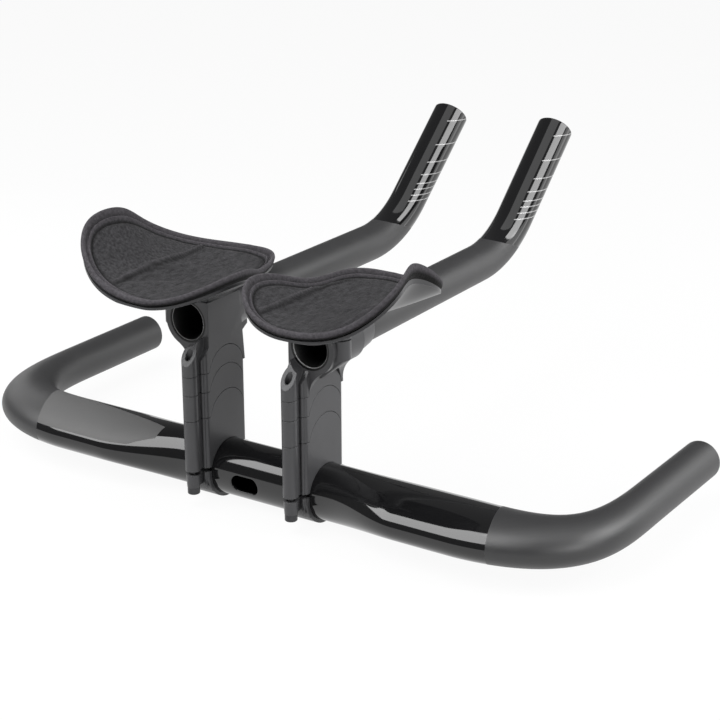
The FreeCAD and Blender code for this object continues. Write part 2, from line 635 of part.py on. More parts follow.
def arm_cup():
    """The thin shell under the pad, with the flat seat that stands on the head."""
    top = PAD_THICKNESS + SOFT_GAP
    cup = trough(CUP_LENGTH_SHARE, CUP_START, CUP_END, top, top + CUP_THICKNESS)
    corners = [Vector(-HALF, HEAD_REAR_Y, 0), Vector(SHOULDER_X, HEAD_REAR_Y, 0),
               Vector(SHOULDER_X, HEAD_REAR_Y, SEAT_PAD_OUTER_RISE), Vector(-HALF, HEAD_REAR_Y, SEAT_PAD_INNER_RISE)]
    seat = prism(lines(corners + corners[:1]), Vector(0, SEAT_PAD_FRONT_Y - HEAD_REAR_Y, 0))
    cup = cup.fuse(seat)
    reach = 4 * SHELL_R
    cup = cup.cut(outward_box(Vector(-reach, -reach, -reach), Vector(reach, reach, 0)))
    neck_z = CUP_SCREW_RISE - CUP_SCREW_HEAD_H
    neck_r = CUP_SCREW_D / 2 + HOLE_CLEARANCE
    head_r = CUP_SCREW_HEAD_D / 2 + HOLE_CLEARANCE
    for y in CUP_SCREW_YS:
        sink = Part.makeCone(neck_r, head_r, CUP_SCREW_HEAD_H, Vector(CUP_SCREW_X, y, neck_z))
        well = Part.makeCylinder(head_r, PAD_THICKNESS, Vector(CUP_SCREW_X, y, CUP_SCREW_RISE))
        hole = Part.makeCylinder(neck_r, neck_z + CUT_MARGIN, Vector(CUP_SCREW_X, y, -CUT_MARGIN))
        cup = cup.cut([sink, well, hole])
    return cup


def on_riser(shape):
    """Moves a piece of the stack out to the right-hand riser."""
    moved = shape.copy()
    moved.translate(Vector(RISER_X, 0, 0))
    return moved


def on_seat(shape):
    """Moves a piece of the arm rest up on to the right-hand head."""
    moved = shape.copy()
    moved.translate(Vector(RISER_X, 0, SEAT_Z))
    return moved


def right_pieces():
    rear_seat = Vector(0, -COLUMN_Y, REAR_SEAT_Z)
    rear_length = COLUMN_TOP_Z - REAR_BOLT_SUNK - REAR_SEAT_Z
    front_seat = Vector(0, COLUMN_Y, FRONT_SEAT_Z)
    ear_drop = math.tan(math.radians(EAR_SLOPE)) * (COLUMN_Y - RISER_FRONT_Y)
    stack_seat = Vector(0, STACK_BOLT_Y, STACK_SEAT_Z)
    pinch_seat = Vector(LUG_X, LUG_Y, PINCH_SEAT_Z)
    return {
        "extension": extension(),
        "riser_head": on_riser(riser_head()),
        "spacer_short": on_riser(stack_piece(SHORT_Z, HEAD_Z)),
        "spacer_medium": on_riser(stack_piece(MEDIUM_Z, SHORT_Z)),
        "base_saddle": on_riser(base_saddle()),
        "lower_clamp": on_riser(lower_clamp()),
        "rear_bolt": on_riser(placed_screw(M4, rear_seat, rear_length)),
        "front_bolt": on_riser(placed_screw(M4, front_seat, EAR_ROOT_Z - ear_drop - FRONT_SEAT_Z)),
        "stack_bolt": on_riser(placed_screw(M5, stack_seat, STACK_END_Z - STACK_SEAT_Z)),
        "pinch_bolt": on_riser(placed_screw(M4, pinch_seat, PINCH_LENGTH, True)),
        "cup_screws": on_riser(cup_screws()),
        "arm_cup": on_seat(arm_cup()),
        "arm_pad": on_seat(arm_pad()),
    }


def main():
    os.makedirs("parts", exist_ok=True)
    base_bar().exportStep("parts/base_bar.step")
    for name, shape in right_pieces().items():
        shape.exportStep("parts/" + name + "_right.step")
        mirrored = shape.mirror(Vector(0, 0, 0), Vector(1, 0, 0))
        mirrored.exportStep("parts/" + name + "_left.step")


main()
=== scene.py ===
"""Looks of a time trial handlebar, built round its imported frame: the lacquered base bar, the bent
extensions, the bolted riser stacks and the padded arm rests. Metres, with X to the rider's right,
Y forward and Z up, and the origin in the middle of the bar's clamp zone.
"""

import math

import bpy
import numpy as np
from mathutils import Matrix, Vector


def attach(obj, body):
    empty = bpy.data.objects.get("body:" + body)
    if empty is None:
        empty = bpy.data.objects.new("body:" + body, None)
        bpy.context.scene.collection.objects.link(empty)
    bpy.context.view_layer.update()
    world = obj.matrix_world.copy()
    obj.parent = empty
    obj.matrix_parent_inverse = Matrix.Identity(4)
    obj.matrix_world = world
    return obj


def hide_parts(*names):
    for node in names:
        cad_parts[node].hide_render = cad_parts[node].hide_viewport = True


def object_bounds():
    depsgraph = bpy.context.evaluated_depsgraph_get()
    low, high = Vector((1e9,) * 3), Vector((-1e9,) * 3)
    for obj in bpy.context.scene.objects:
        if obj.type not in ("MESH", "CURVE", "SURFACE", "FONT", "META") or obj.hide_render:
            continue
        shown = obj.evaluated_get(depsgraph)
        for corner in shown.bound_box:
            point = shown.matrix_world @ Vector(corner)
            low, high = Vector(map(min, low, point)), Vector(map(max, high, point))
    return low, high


bl_info = {
    "name": "Time trial handlebar",
    "version": (1, 0, 0),
    "blender": (4, 5, 0),
    "location": "3D View > Sidebar > Handlebar",
    "description": "Dresses the packed handlebar with its finishes, pads and studio",
    "category": "Object",
}

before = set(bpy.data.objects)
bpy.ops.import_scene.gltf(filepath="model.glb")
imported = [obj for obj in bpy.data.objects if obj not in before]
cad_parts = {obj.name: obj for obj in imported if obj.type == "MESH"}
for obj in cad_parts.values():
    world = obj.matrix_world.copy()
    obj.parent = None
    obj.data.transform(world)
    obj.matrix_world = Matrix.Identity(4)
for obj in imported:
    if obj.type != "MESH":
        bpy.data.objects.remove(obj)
CAD_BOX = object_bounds()
MM = 0.001
UP = np.array([0.0, 0.0, 1.0])
SIDES = (("right", 1.0), ("left", -1.0))
TAU = 2 * math.pi

# The arm pad's rim as a closed curve, measured from the middle of the riser and from the head's seat
RIM = MM * np.array([
    (65, -5, 42), (65, 20, 29), (50, 43, 15.5), (26.5, 54, 12.5),
    (-7, 47, 13.5), (-18, 21, 13), (-26.5, -1, 20), (-28, -22, 22),
    (-10, -43.5, 13), (26, -48, 8.5), (55, -41.5, 19), (69, -22, 39),
])
# Pale marks on the side of each extension's tip: their heights at Y = 0, how far they fall forward, half
# their width, how far to the right of the tip's middle they start, and where the tip starts
TIP_MARKS = MM * np.array([165.9, 152.3, 142.4, 135.3, 130.3, 127.1, 123.8, 120.6])
MARK_FALL = 0.07
MARK_HALF = 0.00022
MARK_START = 0.0065
TIP_START_Y = 0.2
# The lacquer on the tips starts where these shares of Y and Z add up to this height
CUT_SHARES = (0.375, 0.927)
CUT_HEIGHT = 0.1572
# Edges across the wings, each as a slant in Y and a limit in X: of the lacquer, left and right, and of the
# panel, which also ends at a height
LACQUER_EDGES = ((0.42, -0.1578), (0.27, 0.1473))
PANEL_EDGES = ((5.26, -0.0981), (0.0, -0.0675), (-1.53, -0.0445))
PANEL_LOW_Z = 0.0085
# The riser stack's pieces, from the top down
CASTINGS = ("riser_head", "spacer_short", "spacer_medium", "base_saddle", "lower_clamp")
SCREWS = ("rear_bolt", "front_bolt", "stack_bolt", "pinch_bolt", "cup_screws")
# Faces that meet at more than this keep a sharp edge between them
METAL_EDGE = math.radians(28)
CUP_EDGE = math.radians(50)


def length(description, default):
    return bpy.props.FloatProperty(description=description, default=default, unit="LENGTH")


def angle(description, degrees):
    return bpy.props.FloatProperty(description=description, default=math.radians(degrees), subtype="ANGLE")


def share(description, default):
    return bpy.props.FloatProperty(description=description, default=default, min=0.0, max=1.0,
                                   subtype="FACTOR")


def colour(description, default):
    return bpy.props.FloatVectorProperty(description=description, default=default, size=3, min=0.0, max=1.0,
                                         subtype="COLOR")


class BarSizes(bpy.types.PropertyGroup):
    clamp_radius: length("Radius of the round clamp zone", 0.0159)
    clamp_half: length("Half the length of the round clamp zone", 0.044)
    wall: length("Wall of the tube", 0.0019)
    wing_x: length("Where the full wing section starts, from the middle", 0.1)
    wing_chord: length("Half the wing's depth, front to back", 0.024)
    wing_thick: length("Half the wing's height", 0.013)
    setback: length("How far the wing lies behind the clamp zone", 0.006)
    wing_rise: length("How far the wing lies above the clamp zone", 0.0032)
    bend_x: length("Where the swept bend starts, from the middle", 0.132)
    bend_y: length("Where the bend becomes the straight horn", 0.071)
    horn_radius: length("Radius of the horn", 0.0114)
    horn_x: length("Sideways place of the horn's axis", 0.1986)
    horn_rise: length("Height of the horn's axis", 0.005)
    horn_end: length("Forward end of the horn", 0.1395)
    lead: share("Reach of the bend's first guide handle", 0.96)
    follow: share("Reach of the bend's second guide handle", 0.60)
    lip: length("Rounding of the open ends", 0.0006)
    outlet_x: length("Sideways place of the cable outlet", -0.0046)
    outlet_z: length("Height of the cable outlet", -0.002)
    outlet_run: length("Half the straight run of the outlet's outline", 0.00425)
    outlet_radius: length("Radius of the outlet's round ends", 0.00475)
    outlet_lip: length("Rounding of the outlet's edge", 0.0007)


class ExtensionSizes(bpy.types.PropertyGroup):
    radius: length("Outer radius of the tube", 0.0111)
    wall: length("Wall of the tube", 0.0016)
    axis_x: length("Sideways place of the tube's axis at its clamp", 0.0406)
    axis_z: length("Height of the straight part's axis", 0.0871)
    rear_y: length("Rearward end of the tube", -0.015)
    corner_y: length("Where the straight part and the tip would meet", 0.189)
    bend_radius: length("Radius of the bend's centre line", 0.07)
    bend: angle("Angle that the tip rises by", 42.0)
    tip: length("Length of the tip beyond the corner", 0.094)
    toe_in: angle("Angle that the tube turns inward by", 0.6)
    lip: length("Rounding of the open ends", 0.0005)
    rear_wall: length("Wall of the tube at its flared rear end", 0.0006)
    flare: length("Depth of the rear end's flare", 0.005)


class RestSizes(bpy.types.PropertyGroup):
    riser_x: length("Sideways place of the riser's middle", 0.0332)
    seat_z: length("Height of the head's seat", 0.1)
    pad: length("Thickness of the pad", 0.004)
    cup: length("Thickness of the cup under the pad", 0.0015)
    gap: length("Room between the pad and the cup", 0.0003)
    floor_x: length("Sideways place of the trough's lowest line", 0.013)
    rear_lift: length("Rise of the trough's floor to the rear", 0.0024)
    front_lift: length("Rise of the trough's floor to the front", 0.0064)
    power: bpy.props.FloatProperty(description="Steepness of the trough's flanks", default=2.2)
    cup_start: share("Share of the pad's width where the cup begins", 0.02)
    cup_reach: share("Share of the pad's length and width that the cup fills", 0.985)
    roll: length("Half the width of the pad's rolled rim", 0.0019)
    bead: length("Distance of the thin second bead from the pad's edge", 0.0053)
    sunk: length("Depth of the pad's field under the rim", 0.0021)
    welt: length("Height of the two raised welts across the pad", 0.0018)
    outer_welt: length("Place of the straight welt", 0.0395)
    inner_welt: length("Place of the welt that turns in towards the front", -0.011)
    swell: length("Most that the foam may swell by", 0.0008)


class FinishColours(bpy.types.PropertyGroup):
    lacquer: colour("Gloss black of the wing and the tips", (0.006, 0.006, 0.0065))
    coating: colour("Matte coating of the bends, horns and tubes", (0.025, 0.025, 0.026))
    panel: colour("Grey panel on the wing", (0.085, 0.085, 0.085))
    mark: colour("Pale marks on the tips", (0.35, 0.35, 0.35))
    casting: colour("Anodised metal of the risers", (0.072, 0.072, 0.075))
    steel: colour("Blackened steel of the screws", (0.050, 0.050, 0.052))
    plastic: colour("Moulded plastic of the cups", (0.038, 0.038, 0.040))
    felt: colour("Felt of the pad's field", (0.028, 0.0274, 0.0292))
    # The binding colour is also put on the welts' crests as a painted highlight
    binding: colour("Rolled rim of the pad", (0.060, 0.0565, 0.062))
    bare: colour("Cut ends of the extensions", (0.30, 0.30, 0.30))
    # Near-black painted shade: on the tubes' insides, in a ring on the castings round each tube's rear end,
    # and on the pads' undersides and creases
    bore: colour("Insides, gaps and the backing of the pads", (0.005, 0.005, 0.005))
    floor: colour("Floor of the studio", (0.34, 0.34, 0.34))


class HandlebarSettings(bpy.types.PropertyGroup):
    bar: bpy.props.PointerProperty(type=BarSizes)
    extension: bpy.props.PointerProperty(type=ExtensionSizes)
    rest: bpy.props.PointerProperty(type=RestSizes)
    colours: bpy.props.PointerProperty(type=FinishColours)


# Grids and pieces


def smooth(t):
    """An S-shaped blend from 0 to 1 that starts and ends level: 3t^2 - 2t^3."""
    t = np.clip(t, 0.0, 1.0)
    return t * t * (3 - 2 * t)


def mix(start, end, t):
    return start + (end - start) * t


def quads(rows, columns, closed_rows=False, closed_columns=False):
    """The faces of a grid: each joins a point with its next neighbours along its row and column."""
    i, j = np.meshgrid(np.arange(rows if closed_rows else rows - 1),
                       np.arange(columns if closed_columns else columns - 1), indexing="ij")
    k = (i + 1) % rows
    m = (j + 1) % columns
    return np.stack([i * columns + j, k * columns + j, k * columns + m, i * columns + m], -1).reshape(-1, 4)


def outward(points, faces):
    """Turns the faces of a closed surface outward: the signed volume of its fans has to be positive."""
    corners = points[faces]
    volume = sum(np.einsum("ij,ij->i", corners[:, 0], np.cross(corners[:, k], corners[:, k + 1])).sum()
                 for k in range(1, faces.shape[1] - 1))
    return faces if volume > 0 else faces[:, ::-1]


def welded(points, faces, distance=1e-6):
    """Joins points that share a place. Returns the points, the faces, which point each one was, and which
    one each point became."""
    keys = np.round(points / distance).astype(np.int64)
    _, first, index = np.unique(keys, axis=0, return_index=True, return_inverse=True)
    index = index.reshape(-1)
    return points[first], index[faces], first, index


def face_lists(faces):
    """Each face's corners in order without repeats, so that a pole's faces are triangles."""
    shifted = np.roll(faces, 1, axis=1)
    kept = faces != shifted
    return [row[keep].tolist() for row, keep in zip(faces, kept) if keep.sum() > 2]


def new_mesh(name, points, faces):
    mesh = bpy.data.meshes.new(name)
    mesh.from_pydata(points.tolist(), [], face_lists(faces))
    return mesh


def new_object(name, data):
    obj = bpy.data.objects.new(name, data)
    bpy.context.scene.collection.objects.link(obj)
    return obj


def piece(name, points, faces, material, slot, nodes, uv=None, crease=None, masks=None):
    """A piece of the object from points and faces, riding on the root and standing for CAD nodes. The masks
    are values from 0 to 1 at each point that its finish reads by name."""
    mesh = new_mesh(name, points, faces)
    mesh.validate()
    if uv is not None:
        corner = np.empty(len(mesh.loops), np.int32)
        mesh.loops.foreach_get("vertex_index", corner)
        layer = mesh.uv_layers.new(name="cloth")
        layer.data.foreach_set("uv", uv[corner].astype(np.float32).ravel())
    for label, values in (masks or {}).items():
        layer = mesh.attributes.new(label, "FLOAT", "POINT")
        layer.data.foreach_set("value", values.astype(np.float32))
    mesh.shade_smooth()
    if crease is not None:
        mesh.set_sharp_from_angle(angle=crease)
    obj = new_object(name, mesh)
    mesh.materials.append(material)
    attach(obj, "root")
    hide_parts(*nodes)
    return obj


def mirrored(points, side):
    """Points drawn for the right-hand side, reflected in X = 0 for the left."""
    return points * np.array([side, 1.0, 1.0])


def lip_round(lip, wall, steps):
    """Steps over a tube's open end, by a quarter round outside and inside: depth in the wall, and reach."""
    k = np.radians(np.linspace(15, 90, steps))
    inset = np.concatenate([lip * (1 - np.cos(k)), wall - lip * (1 - np.cos(k[::-1]))])
    return inset, lip * np.concatenate([np.sin(k), np.sin(k[::-1])])


# Shader nodes


class Nodes:
    """A node tree, with one method for each kind of link that the finishes need."""

    def __init__(self, tree):
        self.tree = tree

    def node(self, kind, inputs=None, **options):
        """A node with its options set and its inputs fed by name."""
        made = self.tree.nodes.new(kind)
        for key, value in options.items():
            setattr(made, key, value)
        for label, value in (inputs or {}).items():
            self.put(made.inputs[label], value)
        return made

    def link(self, source, target):
        self.tree.links.new(source, target)

    def put(self, socket, value):
        """Feeds a socket from another socket, or sets it to a plain value."""
        if isinstance(value, bpy.types.NodeSocket):
            self.link(value, socket)
        else:
            socket.default_value = value

    def group(self, name, **values):
        """The outputs of a node group that more than one finish uses, built when it is first asked for."""
        makers = {"Grain": grain_group, "Band": band_group}
        tree = bpy.data.node_groups.get(name) or makers[name]()
        return self.node("ShaderNodeGroup", values, node_tree=tree).outputs

    def math(self, operation, *values):
        made = self.node("ShaderNodeMath", operation=operation)
        for socket, value in zip(made.inputs, values):
            self.put(socket, value)
        return made.outputs[0]

    def range(self, factor, low, high, first=0.0, last=1.0):
        """A value from low to high, as a factor goes from first to last."""
        ends = {"Value": factor, "From Min": first, "From Max": last, "To Min": low, "To Max": high}
        return self.node("ShaderNodeMapRange", ends).outputs["Result"]

    def noise(self, **values):
        return self.node("ShaderNodeTexNoise", values).outputs["Fac"]


class Shading(Nodes):
    """A material's nodes, from the places and masks that it reads to its shader."""

    def __init__(self, name):
        self.material = bpy.data.materials.new(name)
        self.material.use_nodes = True
        super().__init__(self.material.node_tree)
        self.shader = self.tree.nodes["Principled BSDF"]

    def where(self):
        """Object coordinates."""
        return self.node("ShaderNodeTexCoord").outputs["Object"]

    def place(self):
        """The three parts of the Object coordinates."""
        return self.node("ShaderNodeSeparateXYZ", {"Vector": self.where()}).outputs

    def grain(self, scale, spread):
        """Fine grain and a slower mottle on Object coordinates."""
        made = self.group("Grain", Vector=self.where(), Scale=scale, Spread=spread)
        return made["Grain"], made["Mottle"]

    def attribute(self, name):
        """A mask that the piece's mesh holds."""
        return self.node("ShaderNodeAttribute", attribute_name=name).outputs["Fac"]

    def past(self, value, limit, soft, way=1.0):
        """1 where a value is past a limit, upward or, with a way of -1, downward, over a soft edge."""
        return self.group("Band", Value=value, Centre=limit + way, Half=1.0, Soft=soft)["Mask"]

    def blend(self, factor, first, second):
        """A colour between two others."""
        made = self.node("ShaderNodeMix", data_type="RGBA")
        self.put(made.inputs["Factor"], factor)
        for socket, value in ((made.inputs["A"], first), (made.inputs["B"], second)):
            self.put(socket, value if isinstance(value, bpy.types.NodeSocket) else (*value, 1.0))
        return made.outputs["Result"]

    def tones(self, factor, colour, low, high):
        """A colour between two tones of one, each given as a share of its brightness."""
        return self.blend(factor, [low * c for c in colour], [high * c for c in colour])

    def bump(self, height, strength, distance, edge=0.0):
        """Relief from a height, over edges that are rounded to the given radius."""
        made = self.node("ShaderNodeBump", {"Height": height, "Strength": strength, "Distance": distance})
        if edge:
            rounded = self.node("ShaderNodeBevel", {"Radius": edge}, samples=6)
            self.link(rounded.outputs["Normal"], made.inputs["Normal"])
        self.link(made.outputs["Normal"], self.shader.inputs["Normal"])

    def set(self, **values):
        for key, value in values.items():
            self.put(self.shader.inputs[key.replace("_", " ")], value)


def group_tree(name, inputs, outputs):
    """An empty shader node group with named sockets: values, or a vector where an input has no default."""
    tree = bpy.data.node_groups.new(name, "ShaderNodeTree")
    for label, default in inputs.items():
        kind = "NodeSocketVector" if default is None else "NodeSocketFloat"
        socket = tree.interface.new_socket(label, in_out="INPUT", socket_type=kind)
        if default is not None:
            socket.default_value = default
    for label in outputs:
        tree.interface.new_socket(label, in_out="OUTPUT", socket_type="NodeSocketFloat")
    return Nodes(tree), tree.nodes.new("NodeGroupInput").outputs, tree.nodes.new("NodeGroupOutput").inputs


def grain_group():
    """Fine grain with a slower mottle under it: Grain is for bump, Mottle for colour and roughness."""
    nodes, given, result = group_tree("Grain", {"Vector": None, "Scale": 1000.0, "Spread": 60.0},
                                      ("Grain", "Mottle"))
    for source, target, detail in (("Scale", "Grain", 3.0), ("Spread", "Mottle", 4.0)):
        nodes.link(nodes.noise(Vector=given["Vector"], Scale=given[source], Detail=detail), result[target])
    return nodes.tree


def band_group():
    """A soft-edged band: 1 where a value is within Half of Centre, falling to 0 over Soft."""
    nodes, given, result = group_tree("Band", {"Value": 0.0, "Centre": 0.0, "Half": 0.001, "Soft": 0.0001},
                                      ("Mask",))
    away = nodes.math("ABSOLUTE", nodes.math("SUBTRACT", given["Value"], given["Centre"]))
    edge = nodes.math("ADD", given["Half"], given["Soft"])
    nodes.link(nodes.range(away, 1.0, 0.0, first=given["Half"], last=edge), result["Mask"])
    return nodes.tree


def lacquer_over_coating(shading, gloss, colours):
    """Gloss lacquer where the mask is 1 and matte coating where it is 0. Returns colour and roughness."""
    grain, mottle = shading.grain(scale=2600.0, spread=90.0)
    matte_roughness = shading.range(mottle, 0.40, 0.50)
    roughness = shading.math("MULTIPLY_ADD", gloss, -0.38, matte_roughness)
    roughness = shading.math("MAXIMUM", roughness, 0.055)
    matte_grain = shading.math("MULTIPLY", grain, shading.math("SUBTRACT", 1.0, gloss))
    shading.bump(matte_grain, strength=0.25, distance=0.00012)
    shading.set(IOR=1.62)
    return shading.blend(gloss, shading.tones(mottle, colours.coating, 0.9, 1.12), colours.lacquer), roughness


def bar_finish(colours):
    """The bar: gloss lacquer between two slanted edges on the wings, matte outside them, and a plain
    satin panel on top of the left-hand wing. Each edge lies where x + slant * y reaches a limit."""
    shading = Shading("bar_finish")
    x, y, z = shading.place()
    near = shading.math("MINIMUM", y, 0.012)

    def under(slant, limit):
        return shading.past(shading.math("MULTIPLY_ADD", near, slant, x), limit, soft=0.0003, way=-1.0)

    left, right = LACQUER_EDGES
    gloss = shading.math("MULTIPLY", under(*right), shading.math("SUBTRACT", 1.0, under(*left)))
    base, roughness = lacquer_over_coating(shading, gloss, colours)
    panel = shading.math("MULTIPLY", gloss, shading.math("GREATER_THAN", z, PANEL_LOW_Z))
    for slant, limit in PANEL_EDGES:
        panel = shading.math("MULTIPLY", panel, under(slant, limit))
    shading.set(Base_Color=shading.blend(panel, base, colours.panel),
                Roughness=shading.math("MULTIPLY_ADD", panel, 0.6, roughness))
    return shading.material


def extension_finish(colours, x_axis):
    """A tube: matte coating, gloss lacquer beyond a slanted cut at the bend, pale marks on the tip's right
    side, each where z + fall * y reaches its height, and bare metal on the cut rear end."""
    shading = Shading("extension_finish_" + ("right" if x_axis > 0 else "left"))
    x, y, z = shading.place()
    sizes = bpy.context.scene.handlebar.extension
    end_depth = 0.0004
    cut = shading.math("MULTIPLY_ADD", y, CUT_SHARES[0], shading.math("MULTIPLY", z, CUT_SHARES[1]))
    base, roughness = lacquer_over_coating(shading, shading.past(cut, CUT_HEIGHT, soft=0.0003), colours)
    level = shading.math("MULTIPLY_ADD", y, MARK_FALL, z)
    marks = 0.0
    for place in TIP_MARKS:
        line = shading.group("Band", Value=level, Centre=float(place), Half=MARK_HALF, Soft=0.00012)["Mask"]
        marks = shading.math("MAXIMUM", line, marks)
    marks = shading.math("MULTIPLY", marks, shading.math("GREATER_THAN", x, x_axis + MARK_START))
    cut_end = shading.past(y, sizes.rear_y + end_depth, soft=0.0001, way=-1.0)
    base = shading.blend(cut_end, shading.blend(marks, base, colours.mark), colours.bare)
    # The inside of the tube is coloured near-black, as painted shade
    shading.set(Base_Color=shading.blend(shading.attribute("bore"), base, colours.bore), Roughness=roughness)
    return shading.material


def mottled(shading, colour, scale, spread, tones, roughness, relief, edge=0.0):
    """Gives a finish a fine grain as relief and a slow mottle as roughness. Returns the mottled colour."""
    grain, mottle = shading.grain(scale, spread)
    shading.set(Roughness=shading.range(mottle, *roughness))
    shading.bump(grain, *relief, edge)
    return shading.tones(mottle, colour, *tones)


def casting_finish(colours):
    """Anodised cast metal: dark grey with a fine blasted grain, a slow mottle and a soft sheen. A ring of
    near-black painted shade shows round each tube's rear end, where the distance from the tube's axis is
    just over its radius."""
    shading = Shading("casting_finish")
    x, y, z = shading.place()
    tube = bpy.context.scene.handlebar.extension
    shade_ring_half, shade_ring_depth = 0.0005, 0.006
    # Painted shade: a near-black ring on the casting round each tube's rear end, for the shadowed gap there
    aside = shading.math("SUBTRACT", shading.math("ABSOLUTE", x), tube.axis_x)
    above = shading.math("SUBTRACT", z, tube.axis_z)
    squares = shading.math("MULTIPLY_ADD", aside, aside, shading.math("MULTIPLY", above, above))
    gap = shading.group("Band", Value=shading.math("SQRT", squares), Centre=tube.radius + shade_ring_half,
                        Half=shade_ring_half, Soft=0.0002)["Mask"]
    gap = shading.math("MULTIPLY", gap, shading.math("LESS_THAN", y, tube.rear_y + shade_ring_depth))
    base = mottled(shading, colours.casting, scale=2200.0, spread=70.0, tones=(0.88, 1.14),
                   roughness=(0.28, 0.38), relief=(0.22, 0.00012), edge=0.0006)
    shading.set(Base_Color=shading.blend(gap, base, colours.bore), Metallic=0.15, Specular_IOR_Level=0.32)
    return shading.material


def screw_finish(colours):
    """Blackened steel, mottled from handling, over a fine grain."""
    shading = Shading("screw_finish")
    base = mottled(shading, colours.steel, scale=1800.0, spread=400.0, tones=(0.8, 1.5),
                   roughness=(0.26, 0.40), relief=(0.15, 0.0001))
    shading.set(Base_Color=base, Metallic=0.9)
    return shading.material


def plastic_finish(colours):
    """Moulded plastic of the cups: satin, with a very fine texture."""
    shading = Shading("plastic_finish")
    base = mottled(shading, colours.plastic, scale=1500.0, spread=45.0, tones=(0.92, 1.08),
                   roughness=(0.26, 0.34), relief=(0.12, 0.0001), edge=0.0006)
    shading.set(Base_Color=base, Specular_IOR_Level=0.3)
    return shading.material


def pad_finish(colours):
    """The pad's cloth: mottled felt in the middle, closer felt on the outer ear and a knit on the rim, with a
    painted highlight on the welts' crests and near-black painted shade on the underside and in the creases.
    The UV map holds flat cloth coordinates, and masks mark each of these parts."""
    shading = Shading("pad_finish")
    grain, mottle = shading.grain(scale=1500.0, spread=620.0)
    cloth = shading.node("ShaderNodeUVMap", uv_map="cloth").outputs["UV"]
    stretched = shading.node("ShaderNodeMapping", {"Vector": cloth, "Scale": (1.0, 0.45, 1.0),
                                                   "Rotation": (0.0, 0.0, 0.5)}).outputs["Vector"]
    blotch = shading.noise(Vector=stretched, Scale=330.0, Detail=6.0, Roughness=0.72)
    patches = shading.range(blotch, 0.0, 1.0, first=0.34, last=0.62)
    speckle = shading.range(mottle, 0.0, 1.0, first=0.3, last=0.7)
    closeness = shading.range(shading.attribute("ear"), 0.35, 1.0)
    field = shading.blend(closeness, shading.tones(patches, colours.felt, 0.3, 1.6),
                          shading.tones(speckle, colours.felt, 0.6, 1.6))
    # The rim mask gives the knit's colour to the rim and, as a painted highlight, to the welts' crests
    rim = shading.attribute("rim")
    base = shading.blend(rim, field, shading.tones(speckle, colours.binding, 0.72, 1.25))
    # Painted shade: near-black on the pad's underside and in its creases
    dark = shading.math("MAXIMUM", shading.attribute("underside_shade"), shading.attribute("crease"))
    shading.set(Base_Color=shading.blend(dark, base, colours.bore), Roughness=0.9,
                Specular_IOR_Level=0.12, Sheen_Weight=0.05, Sheen_Roughness=0.45)
    height = shading.math("MULTIPLY", blotch, shading.range(rim, 0.7, 0.0))
    height = shading.math("MULTIPLY_ADD", mottle, 0.6, height)
    height = shading.math("MULTIPLY_ADD", grain, 0.4, height)
    shading.bump(height, strength=0.7, distance=0.0010)
    return shading.material


# Base bar


def bar_sections(sizes):
    """The bar's sections from the middle to the right-hand horn's end: centres, directions across, and
    half sizes. Round to wing goes by an S-shaped blend; the bend is a cubic curve of four points."""
    middle = np.arange(0.0, sizes.clamp_half - 1e-6, MM)
    t = np.linspace(0.0, 1.0, 57)
    w = smooth(t)
    blend_x = mix(sizes.clamp_half, sizes.wing_x, t)
    flat = np.linspace(sizes.wing_x, sizes.bend_x, 22)[1:-1]
    x = np.concatenate([middle, blend_x, flat])
    w = np.concatenate([np.zeros(len(middle)), w, np.ones(len(flat))])
    centre = np.stack([x, -sizes.setback * w, sizes.wing_rise * w], -1)
    across = np.tile([0.0, 1.0, 0.0], (len(x), 1))
    chord = mix(sizes.clamp_radius, sizes.wing_chord, w)
    thick = mix(sizes.clamp_radius, sizes.wing_thick, w)
    t = np.linspace(0.0, 1.0, 85)[:, None]
    s = 1 - t
    start = np.array([sizes.bend_x, -sizes.setback])
    end = np.array([sizes.horn_x, sizes.bend_y])
    lead = start + np.array([sizes.lead * (end - start)[0], 0.0])
    follow = end - np.array([0.0, sizes.follow * (end - start)[1]])
    plan = start * s ** 3 + lead * 3 * s * s * t + follow * 3 * s * t * t + end * t ** 3
    slope = (lead - start) * s * s + (follow - lead) * 2 * s * t + (end - follow) * t * t
    slope /= np.linalg.norm(slope, axis=1, keepdims=True)
    t = t[:, 0]
    w = smooth(t ** 0.75)
    bend_centre = np.column_stack([plan, mix(sizes.wing_rise, sizes.horn_rise, smooth(t))])
    bend_across = np.column_stack([-slope[:, 1], slope[:, 0], 0 * t])
    horn_y = np.linspace(sizes.bend_y, sizes.horn_end - sizes.lip, 32)[1:]
    horn = np.column_stack([0 * horn_y + sizes.horn_x, horn_y, 0 * horn_y + sizes.horn_rise])
    ones = np.ones(len(horn_y))
    return (np.concatenate([centre, bend_centre, horn]),
            np.concatenate([across, bend_across, np.outer(ones, [-1.0, 0.0, 0.0])]),
            np.concatenate([chord, mix(sizes.wing_chord, sizes.horn_radius, w), ones * sizes.horn_radius]),
            np.concatenate([thick, mix(sizes.wing_thick, sizes.horn_radius, w), ones * sizes.horn_radius]))


def bar_side(sizes, turns, inset):
    """Rings of one side of the bar, pulled in by a wall: centre + across * chord * cos + up * thick * sin."""
    centre, across, chord, thick = bar_sections(sizes)
    wide = ((chord - inset)[:, None] * np.cos(turns))[..., None] * across[:, None, :]
    tall = ((thick - inset)[:, None] * np.sin(turns))[..., None] * UP
    return centre[:, None, :] + wide + tall


def horn_lip(sizes, turns):
    """Rings over the horn's open end: a quarter round outside, the flat, and a quarter round inside."""
    inset, ahead = lip_round(sizes.lip, sizes.wall, steps=6)
    radius = (sizes.horn_radius - inset)[:, None]
    x = sizes.horn_x - radius * np.cos(turns)
    y = np.broadcast_to((sizes.horn_end - sizes.lip + ahead)[:, None], x.shape)
    return np.stack([x, y, sizes.horn_rise + radius * np.sin(turns)], -1)


